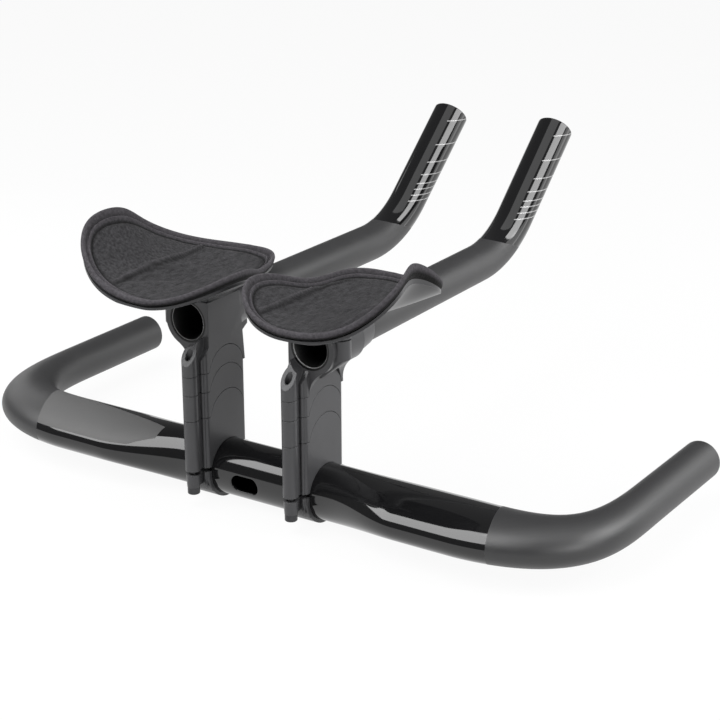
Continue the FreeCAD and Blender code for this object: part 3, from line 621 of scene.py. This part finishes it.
def outlet_patch(sizes, x_lines, turns, radius):
    """The wall round the cable outlet: from a rectangle of the bar's grid in to a stadium outline, both
    taken in the plane of X and Z. Returns the rectangle's edge, the outline and the ways out from it."""
    low_x, high_x = x_lines[0], x_lines[-1]
    heights = radius * np.sin(turns)
    lower = np.column_stack([x_lines, 0 * x_lines + heights[-1]])
    right = np.column_stack([0 * heights + high_x, heights])[::-1][1:]
    upper = np.column_stack([x_lines, 0 * x_lines + heights[0]])[::-1][1:]
    left = np.column_stack([0 * heights + low_x, heights])[1:-1]
    edge = np.concatenate([lower, right, upper, left])
    middle = np.array([sizes.outlet_x, sizes.outlet_z])
    out = edge - middle
    core = np.clip(out[:, 0], -sizes.outlet_run, sizes.outlet_run)
    spoke = np.column_stack([out[:, 0] - core, out[:, 1]])
    spoke /= np.linalg.norm(spoke, axis=1, keepdims=True)
    outline = middle + np.column_stack([core, 0 * core]) + sizes.outlet_radius * spoke
    return edge, outline, spoke


def on_round(flat, radius):
    """Puts points of the plane of X and Z on the rear of a round bar."""
    return np.stack([flat[..., 0], -np.sqrt(radius ** 2 - flat[..., 1] ** 2), flat[..., 1]], -1)


def bar_surface(sizes):
    """The bar's whole skin: outside from left to right, over the lip, back along the inside and over the
    other lip, with the cable outlet let into both walls."""
    count = 96
    turns = np.arange(count) * TAU / count
    outer = bar_side(sizes, turns, 0.0)
    inner = bar_side(sizes, turns, sizes.wall)
    lip = horn_lip(sizes, turns)
    flip = np.array([-1.0, 1.0, 1.0])
    rings = np.concatenate([outer[:0:-1] * flip, outer, lip, inner[::-1], inner[1:] * flip, lip[::-1] * flip])
    # The outlet's rectangle in the grid: columns either side of straight back, rings by their place in X
    columns = np.arange(42, 59)
    x_lines = np.round(np.arange(-17, 9) * MM, 6)
    spans = np.stack([rings[:, 0, 0], np.roll(rings[:, 0, 0], -1)])
    within = (spans.min(0) > x_lines[0] - 1e-5) & (spans.max(0) < x_lines[-1] + 1e-5)
    half = len(outer)
    keep = np.ones((len(rings), count), bool)
    walls = []
    for at, inset in ((half - 1, 0.0), (3 * half - 2 + len(lip), sizes.wall)):
        near = np.abs(np.arange(len(rings)) - at) < sizes.clamp_half / MM
        keep[np.ix_(within & near, columns[:-1])] = False
        radius = sizes.clamp_radius - inset
        walls.append((radius, *outlet_patch(sizes, x_lines, turns[columns], radius)))
    (radius, edge, outline, spoke), (inner_radius, inner_edge, inner_outline, _) = walls
    t = np.linspace(0.0, 1.0, 7)[:, None, None]
    k = np.radians(np.linspace(18, 90, 5))[:, None, None]
    rounded = on_round(outline + sizes.outlet_lip * (1 - np.sin(k)) * spoke, radius)
    rounded[..., 1] += sizes.outlet_lip * (1 - np.cos(k[..., 0]))
    patch = np.concatenate([on_round(mix(edge, outline + sizes.outlet_lip * spoke, t), radius), rounded,
                            on_round(mix(inner_outline, inner_edge, t), inner_radius)])
    points = np.concatenate([rings.reshape(-1, 3), patch.reshape(-1, 3)])
    tube = quads(len(rings), count, True, True).reshape(len(rings), count, 4)[keep]
    collar = quads(len(patch), patch.shape[1], False, True) + len(rings) * count
    return points, tube, collar


class HANDLEBAR_OT_base_bar(bpy.types.Operator):
    """Adds the lacquered base bar"""
    bl_idname = "handlebar.base_bar"
    bl_label = "Base bar"

    def execute(self, context):
        settings = context.scene.handlebar
        points, tube, collar = bar_surface(settings.bar)
        tube = outward(points, tube)
        corner = points[collar[0]]
        if np.cross(corner[1] - corner[0], corner[2] - corner[1])[1] > 0:
            collar = collar[:, ::-1]
        points, faces = welded(points, np.concatenate([tube, collar]))[:2]
        piece("bar", points, faces, bar_finish(settings.colours), "bar_finish", ["base_bar"])
        return {"FINISHED"}


# Extensions


def extension_line(sizes):
    """Points and directions of the tube's centre line: straight, an arc, then straight to the tip."""
    half = math.tan(sizes.bend / 2) * sizes.bend_radius
    start = sizes.corner_y - half
    y = np.linspace(sizes.rear_y + sizes.lip, start, 60)
    straight = np.column_stack([0 * y, y, 0 * y + sizes.axis_z])
    a = np.linspace(0.0, sizes.bend, 49)[1:]
    arc = np.column_stack([0 * a, start + sizes.bend_radius * np.sin(a),
                           sizes.axis_z + sizes.bend_radius * (1 - np.cos(a))])
    ahead = np.array([0.0, math.cos(sizes.bend), math.sin(sizes.bend)])
    run = np.linspace(0.0, sizes.tip - half - sizes.lip, 40)[1:]
    tip = arc[-1] + run[:, None] * ahead
    turn = np.concatenate([0 * y, a, 0 * run + sizes.bend])
    along = np.column_stack([0 * turn, np.cos(turn), np.sin(turn)])
    return np.concatenate([straight, arc, tip]), along


def tube_surface(sizes):
    """The tube's skin, outside and inside with rounded lips: centre + radius * (side * cos + normal * sin),
    turned inward by the toe-in about the upright line through its clamp."""
    count = 72
    turns = np.arange(count) * TAU / count
    centre, along = extension_line(sizes)
    normal = np.column_stack([0 * along[:, 0], -along[:, 2], along[:, 1]])
    inset, ahead = lip_round(sizes.lip, sizes.wall, steps=5)
    rear_inset, behind = lip_round(sizes.rear_wall / 2, sizes.rear_wall, steps=5)
    lips = len(inset)
    front = centre[-1] + ahead[:, None] * along[-1]
    rear = centre[0] - behind[::-1, None] * along[0]
    flared = smooth(1 - (centre[:, 1] - sizes.rear_y) / sizes.flare)
    wall = mix(sizes.wall, sizes.rear_wall, flared)
    depth = np.concatenate([0 * wall, inset, wall[::-1], rear_inset[::-1]])
    radius = sizes.radius - depth
    middle = np.concatenate([centre, front, centre[::-1], rear])
    up = np.concatenate([normal, np.tile(normal[-1], (lips, 1)), normal[::-1], np.tile(normal[0], (lips, 1))])
    side = np.array([1.0, 0.0, 0.0])
    ring = np.cos(turns)[None, :, None] * side + np.sin(turns)[None, :, None] * up[:, None, :]
    points = (middle[:, None, :] + radius[:, None, None] * ring).reshape(-1, 3)
    c, s = math.cos(sizes.toe_in), math.sin(sizes.toe_in)
    spin = np.array([[c, -s, 0.0], [s, c, 0.0], [0.0, 0.0, 1.0]])
    points = points @ spin.T + np.array([sizes.axis_x, 0.0, 0.0])
    # The inner wall and the inner half of the front lip are marked for near-black painted shade
    inside = np.concatenate([0 * wall, inset > 0.6 * sizes.wall, 1 + 0 * wall, 0 * rear_inset])
    bore = np.repeat(inside, count)
    return points, quads(len(middle), count, True, True), bore


class HANDLEBAR_OT_extensions(bpy.types.Operator):
    """Adds the two bent extensions"""
    bl_idname = "handlebar.extensions"
    bl_label = "Extensions"

    def execute(self, context):
        settings = context.scene.handlebar
        drawn, faces, bore = tube_surface(settings.extension)
        for name, side in SIDES:
            points = mirrored(drawn, side)
            tip_x = float(np.median(points[points[:, 1] > TIP_START_Y][:, 0]))
            piece("tube_" + name, points, outward(points, faces), extension_finish(settings.colours, tip_x),
                  "tube_finish", ["extension_" + name], masks={"bore": bore})
        return {"FINISHED"}


# Riser stacks and screws


def node_surface(node):
    """A CAD node's triangles with their shared corners joined."""
    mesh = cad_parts[node].data
    mesh.calc_loop_triangles()
    points = np.empty(len(mesh.vertices) * 3)
    mesh.vertices.foreach_get("co", points)
    triangles = np.empty(len(mesh.loop_triangles) * 3, np.int32)
    mesh.loop_triangles.foreach_get("vertices", triangles)
    return welded(points.reshape(-1, 3), triangles.reshape(-1, 3), 2e-6)[:2]


def dress_nodes(kinds, ending, material, slot):
    """Pieces that keep the shapes of CAD nodes on both sides, smooth up to a sharp edge."""
    for name, _ in SIDES:
        for kind in kinds:
            node = kind + "_" + name
            piece(kind + ending + name, *node_surface(node), material, slot, [node], crease=METAL_EDGE)


class HANDLEBAR_OT_risers(bpy.types.Operator):
    """Adds the castings of both riser stacks"""
    bl_idname = "handlebar.risers"
    bl_label = "Riser stacks"

    def execute(self, context):
        dress_nodes(CASTINGS, "_casting_", casting_finish(context.scene.handlebar.colours), "riser_metal")
        return {"FINISHED"}


class HANDLEBAR_OT_screws(bpy.types.Operator):
    """Adds the screws"""
    bl_idname = "handlebar.screws"
    bl_label = "Screws"

    def execute(self, context):
        dress_nodes(SCREWS, "_steel_", screw_finish(context.scene.handlebar.colours), "screw_steel")
        return {"FINISHED"}


# Arm rests, drawn about the riser's middle and from the seat


def rim_line(count):
    """The rim through its points: a closed cubic curve whose bends match at each point, by chord length."""
    n = len(RIM)
    step = np.roll(RIM, -1, axis=0) - RIM
    chord = np.linalg.norm(step, axis=1)
    before = np.roll(chord, 1)
    system = np.diag(2 * (before + chord))
    k = np.arange(n)
    system[k, (k + 1) % n] += before
    system[k, (k - 1) % n] += chord
    rate = step / chord[:, None]
    pull = 3 * (np.roll(rate, 1, axis=0) * chord[:, None] + rate * before[:, None])
    slope = np.linalg.solve(system, pull)
    knots = np.concatenate([[0.0], np.cumsum(chord)])
    at = np.arange(count) * knots[-1] / count
    i = np.clip(np.searchsorted(knots, at, side="right") - 1, 0, n - 1)
    h = chord[i][:, None]
    t = ((at - knots[i]) / chord[i])[:, None]
    j = (i + 1) % n
    return (RIM[i] * (1 + 2 * t) * (1 - t) ** 2 + slope[i] * h * t * (1 - t) ** 2
            + RIM[j] * t * t * (3 - 2 * t) + slope[j] * h * t * t * (t - 1))


class Trough:
    """The arm rest's hollow: at each station along Y the flanks rise from a floor line to the rim by a
    power of their share of the width."""

    def __init__(self, sizes):
        self.sizes = sizes
        rim = rim_line(1200)
        rear = int(np.argmin(rim[:, 1]))
        front = int(np.argmax(rim[:, 1]))
        rolled = np.roll(rim, -rear, axis=0)
        split = (front - rear) % len(rim)
        branches = [rolled[:split + 1], np.concatenate([rolled[split:], rolled[:1]])[::-1]]
        branches.sort(key=lambda branch: branch[:, 0].mean())
        self.branches = [branch[np.argsort(branch[:, 1])] for branch in branches]
        self.rear_y = rim[rear, 1]
        self.front_y = rim[front, 1]

    def ends(self, y):
        """Inner and outer rim places, X and Z, at stations y."""
        return [(np.interp(y, b[:, 1], b[:, 0]), np.interp(y, b[:, 1], b[:, 2])) for b in self.branches]

    def height(self, x, y):
        """The hollow's height and its slope across, at places x and y."""
        sizes = self.sizes
        (inner_x, inner_z), (outer_x, outer_z) = self.ends(y)
        lift = np.where(y > 0, sizes.front_lift * (y / self.front_y) ** 2,
                        sizes.rear_lift * (y / self.rear_y) ** 2)
        floor_z = np.minimum(sizes.cup + sizes.gap + sizes.pad + lift, np.minimum(inner_z, outer_z))
        middle_x = (inner_x + outer_x) / 2
        floor_x = np.minimum(np.maximum(sizes.floor_x, (inner_x + middle_x) / 2), middle_x)
        rim_x = np.where(x < floor_x, inner_x, outer_x)
        rim_z = np.where(x < floor_x, inner_z, outer_z)
        width = np.where(np.abs(rim_x - floor_x) < 1e-5, 1e-5, rim_x - floor_x)
        part = np.clip((x - floor_x) / width, 0.0, 1.05)
        z = floor_z + (rim_z - floor_z) * part ** sizes.power
        slope = (rim_z - floor_z) * sizes.power * part ** (sizes.power - 1) / width
        return z, slope


def plumb_depth(slope):
    """How much deeper a wall is straight down than it is thick, on a slope: sqrt(1 + slope^2), to a limit."""
    return np.minimum(np.hypot(1.0, slope), 1.9)


def cup_surface(trough, sizes):
    """The cup: the hollow's own form under the pad, as a thin shell with a rim all round. Its underside turns
    softly level where it would come under the seat."""
    rows, columns = 90, 70
    soft_turn = 0.0008
    middle = (trough.front_y + trough.rear_y) / 2
    reach = sizes.cup_reach * (trough.front_y - trough.rear_y) / 2
    y = middle - reach * np.cos(np.linspace(0.0, math.pi, rows))
    (inner_x, _), (outer_x, _) = trough.ends(y)
    part = np.linspace(sizes.cup_start, sizes.cup_reach, columns)
    x = mix(inner_x[:, None], outer_x[:, None], part)
    y = np.broadcast_to(y[:, None], x.shape)
    z, slope = trough.height(x, y)
    plumb = plumb_depth(slope)
    top = np.stack([x, y, z - (sizes.pad + sizes.gap) * plumb], -1)
    deep = z - (sizes.pad + sizes.gap + sizes.cup) * plumb
    low = np.stack([x, y, (deep + np.hypot(deep, soft_turn)) / 2], -1)
    points = np.concatenate([top.reshape(-1, 3), low.reshape(-1, 3)])
    below = rows * columns
    sheet = quads(rows, columns)
    index = np.arange(below).reshape(rows, columns)
    border = np.concatenate([index[0], index[1:, -1], index[-1, -2::-1], index[-2:0:-1, 0]])
    following = np.roll(border, -1)
    wall = np.stack([border + below, following + below, following, border], -1)
    return points, outward(points, np.concatenate([sheet, sheet[:, ::-1] + below, wall]))


def seat_surface(trough, sizes):
    """The cup's foot on the head: an upright collar round a rectangle, from the seat up into the cup, with
    a flare where it meets the cup."""
    count = 96
    low, high = np.array([-0.0065, -0.015]), np.array([0.0202, 0.014])
    corner = 0.0025
    middle = (low + high) / 2
    turns = np.arange(count) * TAU / count
    ways = np.column_stack([np.cos(turns), np.sin(turns)])
    out = ((high - low) / 2 - corner) * np.clip(1.6 * ways, -1, 1) + corner * ways
    top, _ = trough.height(*(middle + out).T)
    top = np.maximum(top - sizes.pad - sizes.gap - 0.5 * sizes.cup, 0.0003)
    t = np.linspace(0.0, 1.0, 8)[:, None]
    flare = 1 + 0.05 * t[..., None] ** 3
    collar = np.dstack([middle + out * flare, top * t])
    floor, lid = (np.tile([*middle, z], (1, count, 1)) for z in (0.0, top.mean()))
    rings = np.concatenate([floor, collar, lid])
    points = rings.reshape(-1, 3)
    return points, outward(points, quads(len(rings), count, False, True))


class HANDLEBAR_OT_cups(bpy.types.Operator):
    """Adds the moulded cups under the pads"""
    bl_idname = "handlebar.cups"
    bl_label = "Arm cups"

    def execute(self, context):
        settings = context.scene.handlebar
        sizes = settings.rest
        trough = Trough(sizes)
        shell, shell_faces = cup_surface(trough, sizes)
        foot, foot_faces = seat_surface(trough, sizes)
        drawn = np.concatenate([shell, foot]) + np.array([sizes.riser_x, 0.0, sizes.seat_z])
        faces = np.concatenate([shell_faces, foot_faces + len(shell)])
        material = plastic_finish(settings.colours)
        for name, side in SIDES:
            points, joined = welded(mirrored(drawn, side), faces if side > 0 else faces[:, ::-1])[:2]
            piece("cup_" + name, points, joined, material, "cup_plastic", ["arm_cup_" + name],
                  crease=CUP_EDGE)
        return {"FINISHED"}


PAD_TURNS = 220
PAD_CENTRE = MM * np.array([18.0, 0.0])
# Distances of the rings from the pad's edge: close together over the rim
RIM_RINGS = MM * np.arange(0.0, 7.6, 0.25)
FIELD_SHARES = np.linspace(0.0, 1.0, 31)[1:]


class PadLines:
    """Lines from the pad's middle out to its rim, with distances measured along the hollow."""

    def __init__(self, trough, turns):
        rim = rim_line(turns)
        self.trough = trough
        self.reach = rim[:, :2] - PAD_CENTRE
        self.shares = np.linspace(0.0, 1.0, 500)
        xy = PAD_CENTRE + self.shares[:, None, None] * self.reach
        z, _ = trough.height(xy[..., 0], xy[..., 1])
        step = np.linalg.norm(np.diff(np.dstack([xy, z]), axis=0), axis=-1)
        run = np.concatenate([np.zeros((1, turns)), np.cumsum(step[::-1], axis=0)])
        self.from_rim = run[::-1]

    def rings(self, rim_rings, field_shares):
        """Rings from the middle out: places in plan, height, distance from the edge and plumb depth."""
        whole = self.from_rim[0]
        inner = rim_rings[-1] + field_shares[:, None] * (whole - rim_rings[-1])
        outer = np.broadcast_to(rim_rings[:, None], (len(rim_rings), len(whole)))
        edge = np.concatenate([outer, inner])[::-1]
        part = np.stack([np.interp(edge[:, k], self.from_rim[::-1, k], self.shares[::-1])
                         for k in range(len(whole))], -1)
        xy = PAD_CENTRE + part[..., None] * self.reach
        z, slope = self.trough.height(xy[..., 0], xy[..., 1])
        return xy, z, edge, plumb_depth(slope)


def rolled_edge(edge, sizes):
    """How far the pad's rolled edge has fallen away, from 1 at the very edge to 0 at the roll's crest."""
    return 1 - np.sqrt(np.clip(1 - np.clip((sizes.roll - edge) / sizes.roll, 0.0, 1.0) ** 2, 0.0, 1.0))


def bell(distance, width):
    """A bell-shaped rise from 0 to 1 and back: exp(-(d / w)^2)."""
    return np.exp(-(distance / width) ** 2)


def field_share(edge, sizes):
    """1 on the pad's field and 0 under its rim, with a smooth step just inside the second bead."""
    return smooth((edge - sizes.bead - 1.8 * MM) / (2.5 * MM))


def welt_lines(y, sizes):
    """The welts' places across the pad at stations y: one straight, one turning in towards the front."""
    turn_in = 0.0067 * np.clip((y - 0.012) / 0.029, 0.0, 1.2) ** 2
    return sizes.outer_welt + 0.0 * y, sizes.inner_welt + turn_in


def welt_rise(x, y, edge, sizes):
    """The welts' rise from 0 to 1, fading out towards the rim."""
    return field_share(edge, sizes) * sum(bell(x - line, 1.0 * MM) for line in welt_lines(y, sizes))


def pad_crease_shade(x, y, edge, sizes):
    """Painted shade where the cloth is creased, as a mask: beside the second bead, and along the foot of each
    welt that faces the pad's middle."""
    past_bead = edge - sizes.bead
    crease = np.maximum(0.5 * bell(past_bead + 1.8 * MM, 0.6 * MM),
                        0.8 * bell(past_bead - 1.6 * MM, 0.8 * MM))
    for line, foot in zip(welt_lines(y, sizes), (-1.6 * MM, 1.6 * MM)):
        crease = np.maximum(crease, 0.8 * field_share(edge, sizes) * bell(x - line - foot, 0.8 * MM))
    return crease


def pad_relief(x, y, edge, sizes):
    """The top's height over the hollow: the rolled rim, the sunken field, a thin second bead with a groove
    inside it, and two welts across the field."""
    past_bead = edge - sizes.bead
    rim = -sizes.pad / 2 * rolled_edge(edge, sizes)
    sunk = -sizes.sunk * smooth((edge - sizes.roll) / (1.1 * sizes.roll))
    bead = 1.2 * MM * bell(past_bead, 0.8 * MM) - 0.6 * MM * bell(past_bead - 1.6 * MM, 0.6 * MM)
    return rim + sunk + bead + sizes.welt * welt_rise(x, y, edge, sizes)


def pad_swell(lines, sizes):
    """How far the foam swells: a plain closed pad under air pressure, held at its rim and underneath, on an
    even grid of rings, since the pad is thinner than a voxel. Returns each ring's share of the way from the
    rim to the middle, and its lift."""
    turns = len(lines.reach)
    xy, z, edge, plumb = lines.rings(MM * np.linspace(0.0, 6.0, 3), np.linspace(0.0, 1.0, 13)[1:])
    top = np.dstack([xy, z - sizes.sunk * smooth(edge / (6 * MM))])
    low = np.dstack([xy, z - sizes.pad * plumb])[::-1]
    rings = np.concatenate([top, low])
    points, faces, first, index = welded(rings.reshape(-1, 3), quads(len(rings), turns, False, True))
    faces = outward(points, faces)
    held = (first >= edge.size) | (edge.reshape(-1)[first % edge.size] < 5 * MM)
    scene = bpy.context.scene
    mesh = new_mesh("swelling", points, faces)
    obj = new_object("swelling", mesh)
    obj.vertex_groups.new(name="held").add(np.flatnonzero(held).tolist(), 1.0, "REPLACE")
    cloth = obj.modifiers.new("Cloth", "CLOTH")
    cloth.settings.vertex_group_mass = "held"
    cloth.settings.use_pressure = True
    cloth.settings.uniform_pressure_force = 4.0
    cloth.settings.effector_weights.gravity = 0.0
    for number in range(1, 21):
        scene.frame_set(number)
    swollen = obj.evaluated_get(bpy.context.evaluated_depsgraph_get()).data
    moved = np.empty(len(points) * 3)
    swollen.vertices.foreach_get("co", moved)
    scene.frame_set(1)
    bpy.data.objects.remove(obj)
    bpy.data.meshes.remove(mesh)
    lift = np.clip(moved.reshape(-1, 3)[:, 2] - points[:, 2], 0.0, sizes.swell)
    return edge / edge[0], lift[index[:edge.size]].reshape(edge.shape)


class HANDLEBAR_OT_pads(bpy.types.Operator):
    """Adds the padded arm rests"""
    bl_idname = "handlebar.pads"
    bl_label = "Arm pads"

    def execute(self, context):
        settings = context.scene.handlebar
        sizes = settings.rest
        trough = Trough(sizes)
        lines = PadLines(trough, PAD_TURNS)
        xy, z, edge, plumb = lines.rings(RIM_RINGS, FIELD_SHARES)
        material = pad_finish(settings.colours)
        relief = pad_relief(xy[..., 0], xy[..., 1], edge, sizes)
        way, lift = pad_swell(lines, sizes)
        relief = relief + np.stack([np.interp(edge[:, k] / edge[0, k], way[::-1, k], lift[::-1, k])
                                    for k in range(PAD_TURNS)], -1)
        top = np.dstack([xy, z + relief * plumb])
        below = slice(None, None, -2)
        fall = sizes.pad * (1 - rolled_edge(edge, sizes) / 2)
        low = np.dstack([xy, z - fall * plumb])[below]
        rings = np.concatenate([top, low])
        x, y, height = rings[..., 0], rings[..., 1], np.concatenate([z, z[below]])
        from_edge = np.concatenate([edge, edge[below]])
        across = np.sign(x - sizes.floor_x) * np.hypot(x - sizes.floor_x, height - sizes.pad)
        cloth = np.stack([across, y], -1).reshape(-1, 2)
        # The masks hold painted shade on the underside and in the creases, the knit rim together with a
        # painted highlight on the welts' crests, and the ear
        masks = {"underside_shade": np.repeat([0.0, 1.0], [len(top), len(low)])[:, None] * np.ones(PAD_TURNS),
                 "crease": pad_crease_shade(x, y, from_edge, sizes),
                 # The knit rim, and a painted highlight on the welts' crests
                 "rim": np.maximum(1 - smooth((from_edge - sizes.bead - 0.7 * MM) / (0.5 * MM)),
                                   0.75 * welt_rise(x, y, from_edge, sizes) ** 3),
                 "ear": smooth((x - sizes.outer_welt) / (1.0 * MM) + 1.0)}
        drawn = rings.reshape(-1, 3) + np.array([sizes.riser_x, 0.0, sizes.seat_z])
        for name, side in SIDES:
            points, faces, first, _ = welded(mirrored(drawn, side), quads(len(rings), PAD_TURNS, False, True))
            obj = piece("pad_" + name, points, outward(points, faces), material, "pad_fabric",
                        ["arm_pad_" + name], uv=cloth[first],
                        masks={key: value.reshape(-1)[first] for key, value in masks.items()})
        return {"FINISHED"}


# Studio


def softbox(name, place, target, wide, tall, strength):
    """A soft rectangular lamp, turned to a target. Its power follows its area, so strength is brightness."""
    lamp = bpy.data.lights.new(name, "AREA")
    lamp.shape = "RECTANGLE"
    lamp.size = wide
    lamp.size_y = tall
    lamp.energy = strength * math.pi * wide * tall
    obj = new_object(name, lamp)
    obj.location = place
    obj.rotation_euler = (Vector(target) - Vector(place)).to_track_quat("-Z", "Y").to_euler()


def studio_camera():
    """The photograph's camera: turned about the object, raised, slightly rolled, and set off to one side."""
    azimuth, elevation, roll = math.radians(33.50), math.radians(20.21), math.radians(-0.26)
    distance, aside, above = 1.06948, 0.05159, 0.06386
    focal_pixels, picture_pixels = 1919.52, 720
    ahead = Vector((-math.sin(azimuth) * math.cos(elevation), math.cos(azimuth) * math.cos(elevation),
                    -math.sin(elevation)))
    level = Vector((math.cos(azimuth), math.sin(azimuth), 0.0))
    upright = level.cross(ahead)
    right = math.cos(roll) * level + math.sin(roll) * upright
    top = -math.sin(roll) * level + math.cos(roll) * upright
    camera = bpy.data.cameras.new("studio_camera")
    camera.sensor_width = 36.0
    camera.lens = camera.sensor_width * focal_pixels / picture_pixels
    camera.clip_end = 60.0
    obj = new_object("studio_camera", camera)
    turn = Matrix((right, top, -ahead)).transposed()
    place = -distance * ahead + aside * right + above * top
    obj.matrix_world = Matrix.Translation(place) @ turn.to_4x4()
    bpy.context.scene.camera = obj


def floor_finish(colours):
    """A pale floor that keeps the object's soft shadow, and otherwise shows as white to the camera and in
    gloss."""
    glow_strength, glow_share = 1.09, 0.86
    shading = Shading("floor_finish")
    shading.set(Base_Color=(*colours.floor, 1.0), Roughness=0.9)
    paths = shading.node("ShaderNodeLightPath").outputs
    seen = shading.math("MAXIMUM", paths["Is Camera Ray"], paths["Is Glossy Ray"])
    seen = shading.math("MAXIMUM", seen, paths["Is Transmission Ray"])
    glow = shading.node("ShaderNodeEmission", {"Strength": glow_strength})
    both = shading.node("ShaderNodeMixShader", {"Fac": shading.math("MULTIPLY", seen, glow_share)})
    shading.link(shading.shader.outputs["BSDF"], both.inputs[1])
    shading.link(glow.outputs["Emission"], both.inputs[2])
    shading.link(both.outputs["Shader"], shading.tree.nodes["Material Output"].inputs["Surface"])
    return shading.material


class HANDLEBAR_OT_stage(bpy.types.Operator):
    """Adds the floor, the lamps, the world and the camera"""
    bl_idname = "handlebar.stage"
    bl_label = "Studio"

    def execute(self, context):
        scene = context.scene
        low = CAD_BOX[0].z
        rings = np.array([0.0, 0.5, 2.0, 8.0, 30.0])[:, None]
        turns = np.arange(64) * TAU / 64
        points = np.stack([rings * np.cos(turns), rings * np.sin(turns), 0 * rings * turns + low], -1)
        points, faces = welded(points.reshape(-1, 3), quads(len(rings), len(turns), False, True))[:2]
        mesh = new_mesh("floor", points, faces)
        mesh.materials.append(floor_finish(scene.handlebar.colours))
        floor = new_object("floor", mesh)
        middle = (0.0, 0.05, 0.06)
        softbox("left_overhead", (-0.55, -0.625, 0.90), (-0.55, -0.625, 0.0), 1.4, 1.05, 5.2)
        softbox("right_key", (0.78, 0.365, 0.60), middle, 0.7, 0.5, 6.0)
        softbox("front_panel", (0.60, 1.10, 0.30), middle, 1.0, 0.7, 1.3)
        softbox("right_overhead", (0.25, 0.10, 1.10), (0.25, 0.10, 0.0), 0.8, 0.8, 1.0)
        softbox("left_panel", (-0.62, 0.23, 0.22), (-0.19, 0.0, 0.01), 0.3, 0.3, 1.3)
        softbox("rear_fill", (1.15, -0.35, 0.45), middle, 0.6, 0.5, 5.2)
        world = scene.world or bpy.data.worlds.new("studio")
        scene.world = world
        world.use_nodes = True
        backdrop = world.node_tree.nodes["Background"].inputs
        backdrop["Color"].default_value = (0.13, 0.13, 0.13, 1.0)
        backdrop["Strength"].default_value = 1.0
        scene.view_settings.view_transform = "Standard"
        studio_camera()
        return {"FINISHED"}


class HANDLEBAR_PT_panel(bpy.types.Panel):
    bl_label = "Handlebar"
    bl_idname = "HANDLEBAR_PT_panel"
    bl_space_type = "VIEW_3D"
    bl_region_type = "UI"
    bl_category = "Handlebar"

    def draw(self, context):
        settings = context.scene.handlebar
        for operator in OPERATORS:
            self.layout.operator(operator.bl_idname)
        for group in (settings.bar, settings.extension, settings.rest, settings.colours):
            box = self.layout.box()
            for key in group.__annotations__:
                box.prop(group, key, text=key.replace("_", " ").capitalize())


OPERATORS = (HANDLEBAR_OT_stage, HANDLEBAR_OT_base_bar, HANDLEBAR_OT_extensions, HANDLEBAR_OT_risers,
             HANDLEBAR_OT_screws, HANDLEBAR_OT_cups, HANDLEBAR_OT_pads)
CLASSES = (BarSizes, ExtensionSizes, RestSizes, FinishColours, HandlebarSettings, *OPERATORS,
           HANDLEBAR_PT_panel)


def register():
    for entry in CLASSES:
        bpy.utils.register_class(entry)
    bpy.types.Scene.handlebar = bpy.props.PointerProperty(type=HandlebarSettings)


def unregister():
    del bpy.types.Scene.handlebar
    for entry in reversed(CLASSES):
        bpy.utils.unregister_class(entry)


def main():
    register()
    bpy.ops.handlebar.stage()
    bpy.ops.handlebar.base_bar()
    bpy.ops.handlebar.extensions()
    bpy.ops.handlebar.risers()
    bpy.ops.handlebar.screws()
    bpy.ops.handlebar.cups()
    bpy.ops.handlebar.pads()


if __name__ == "__main__":
    main()
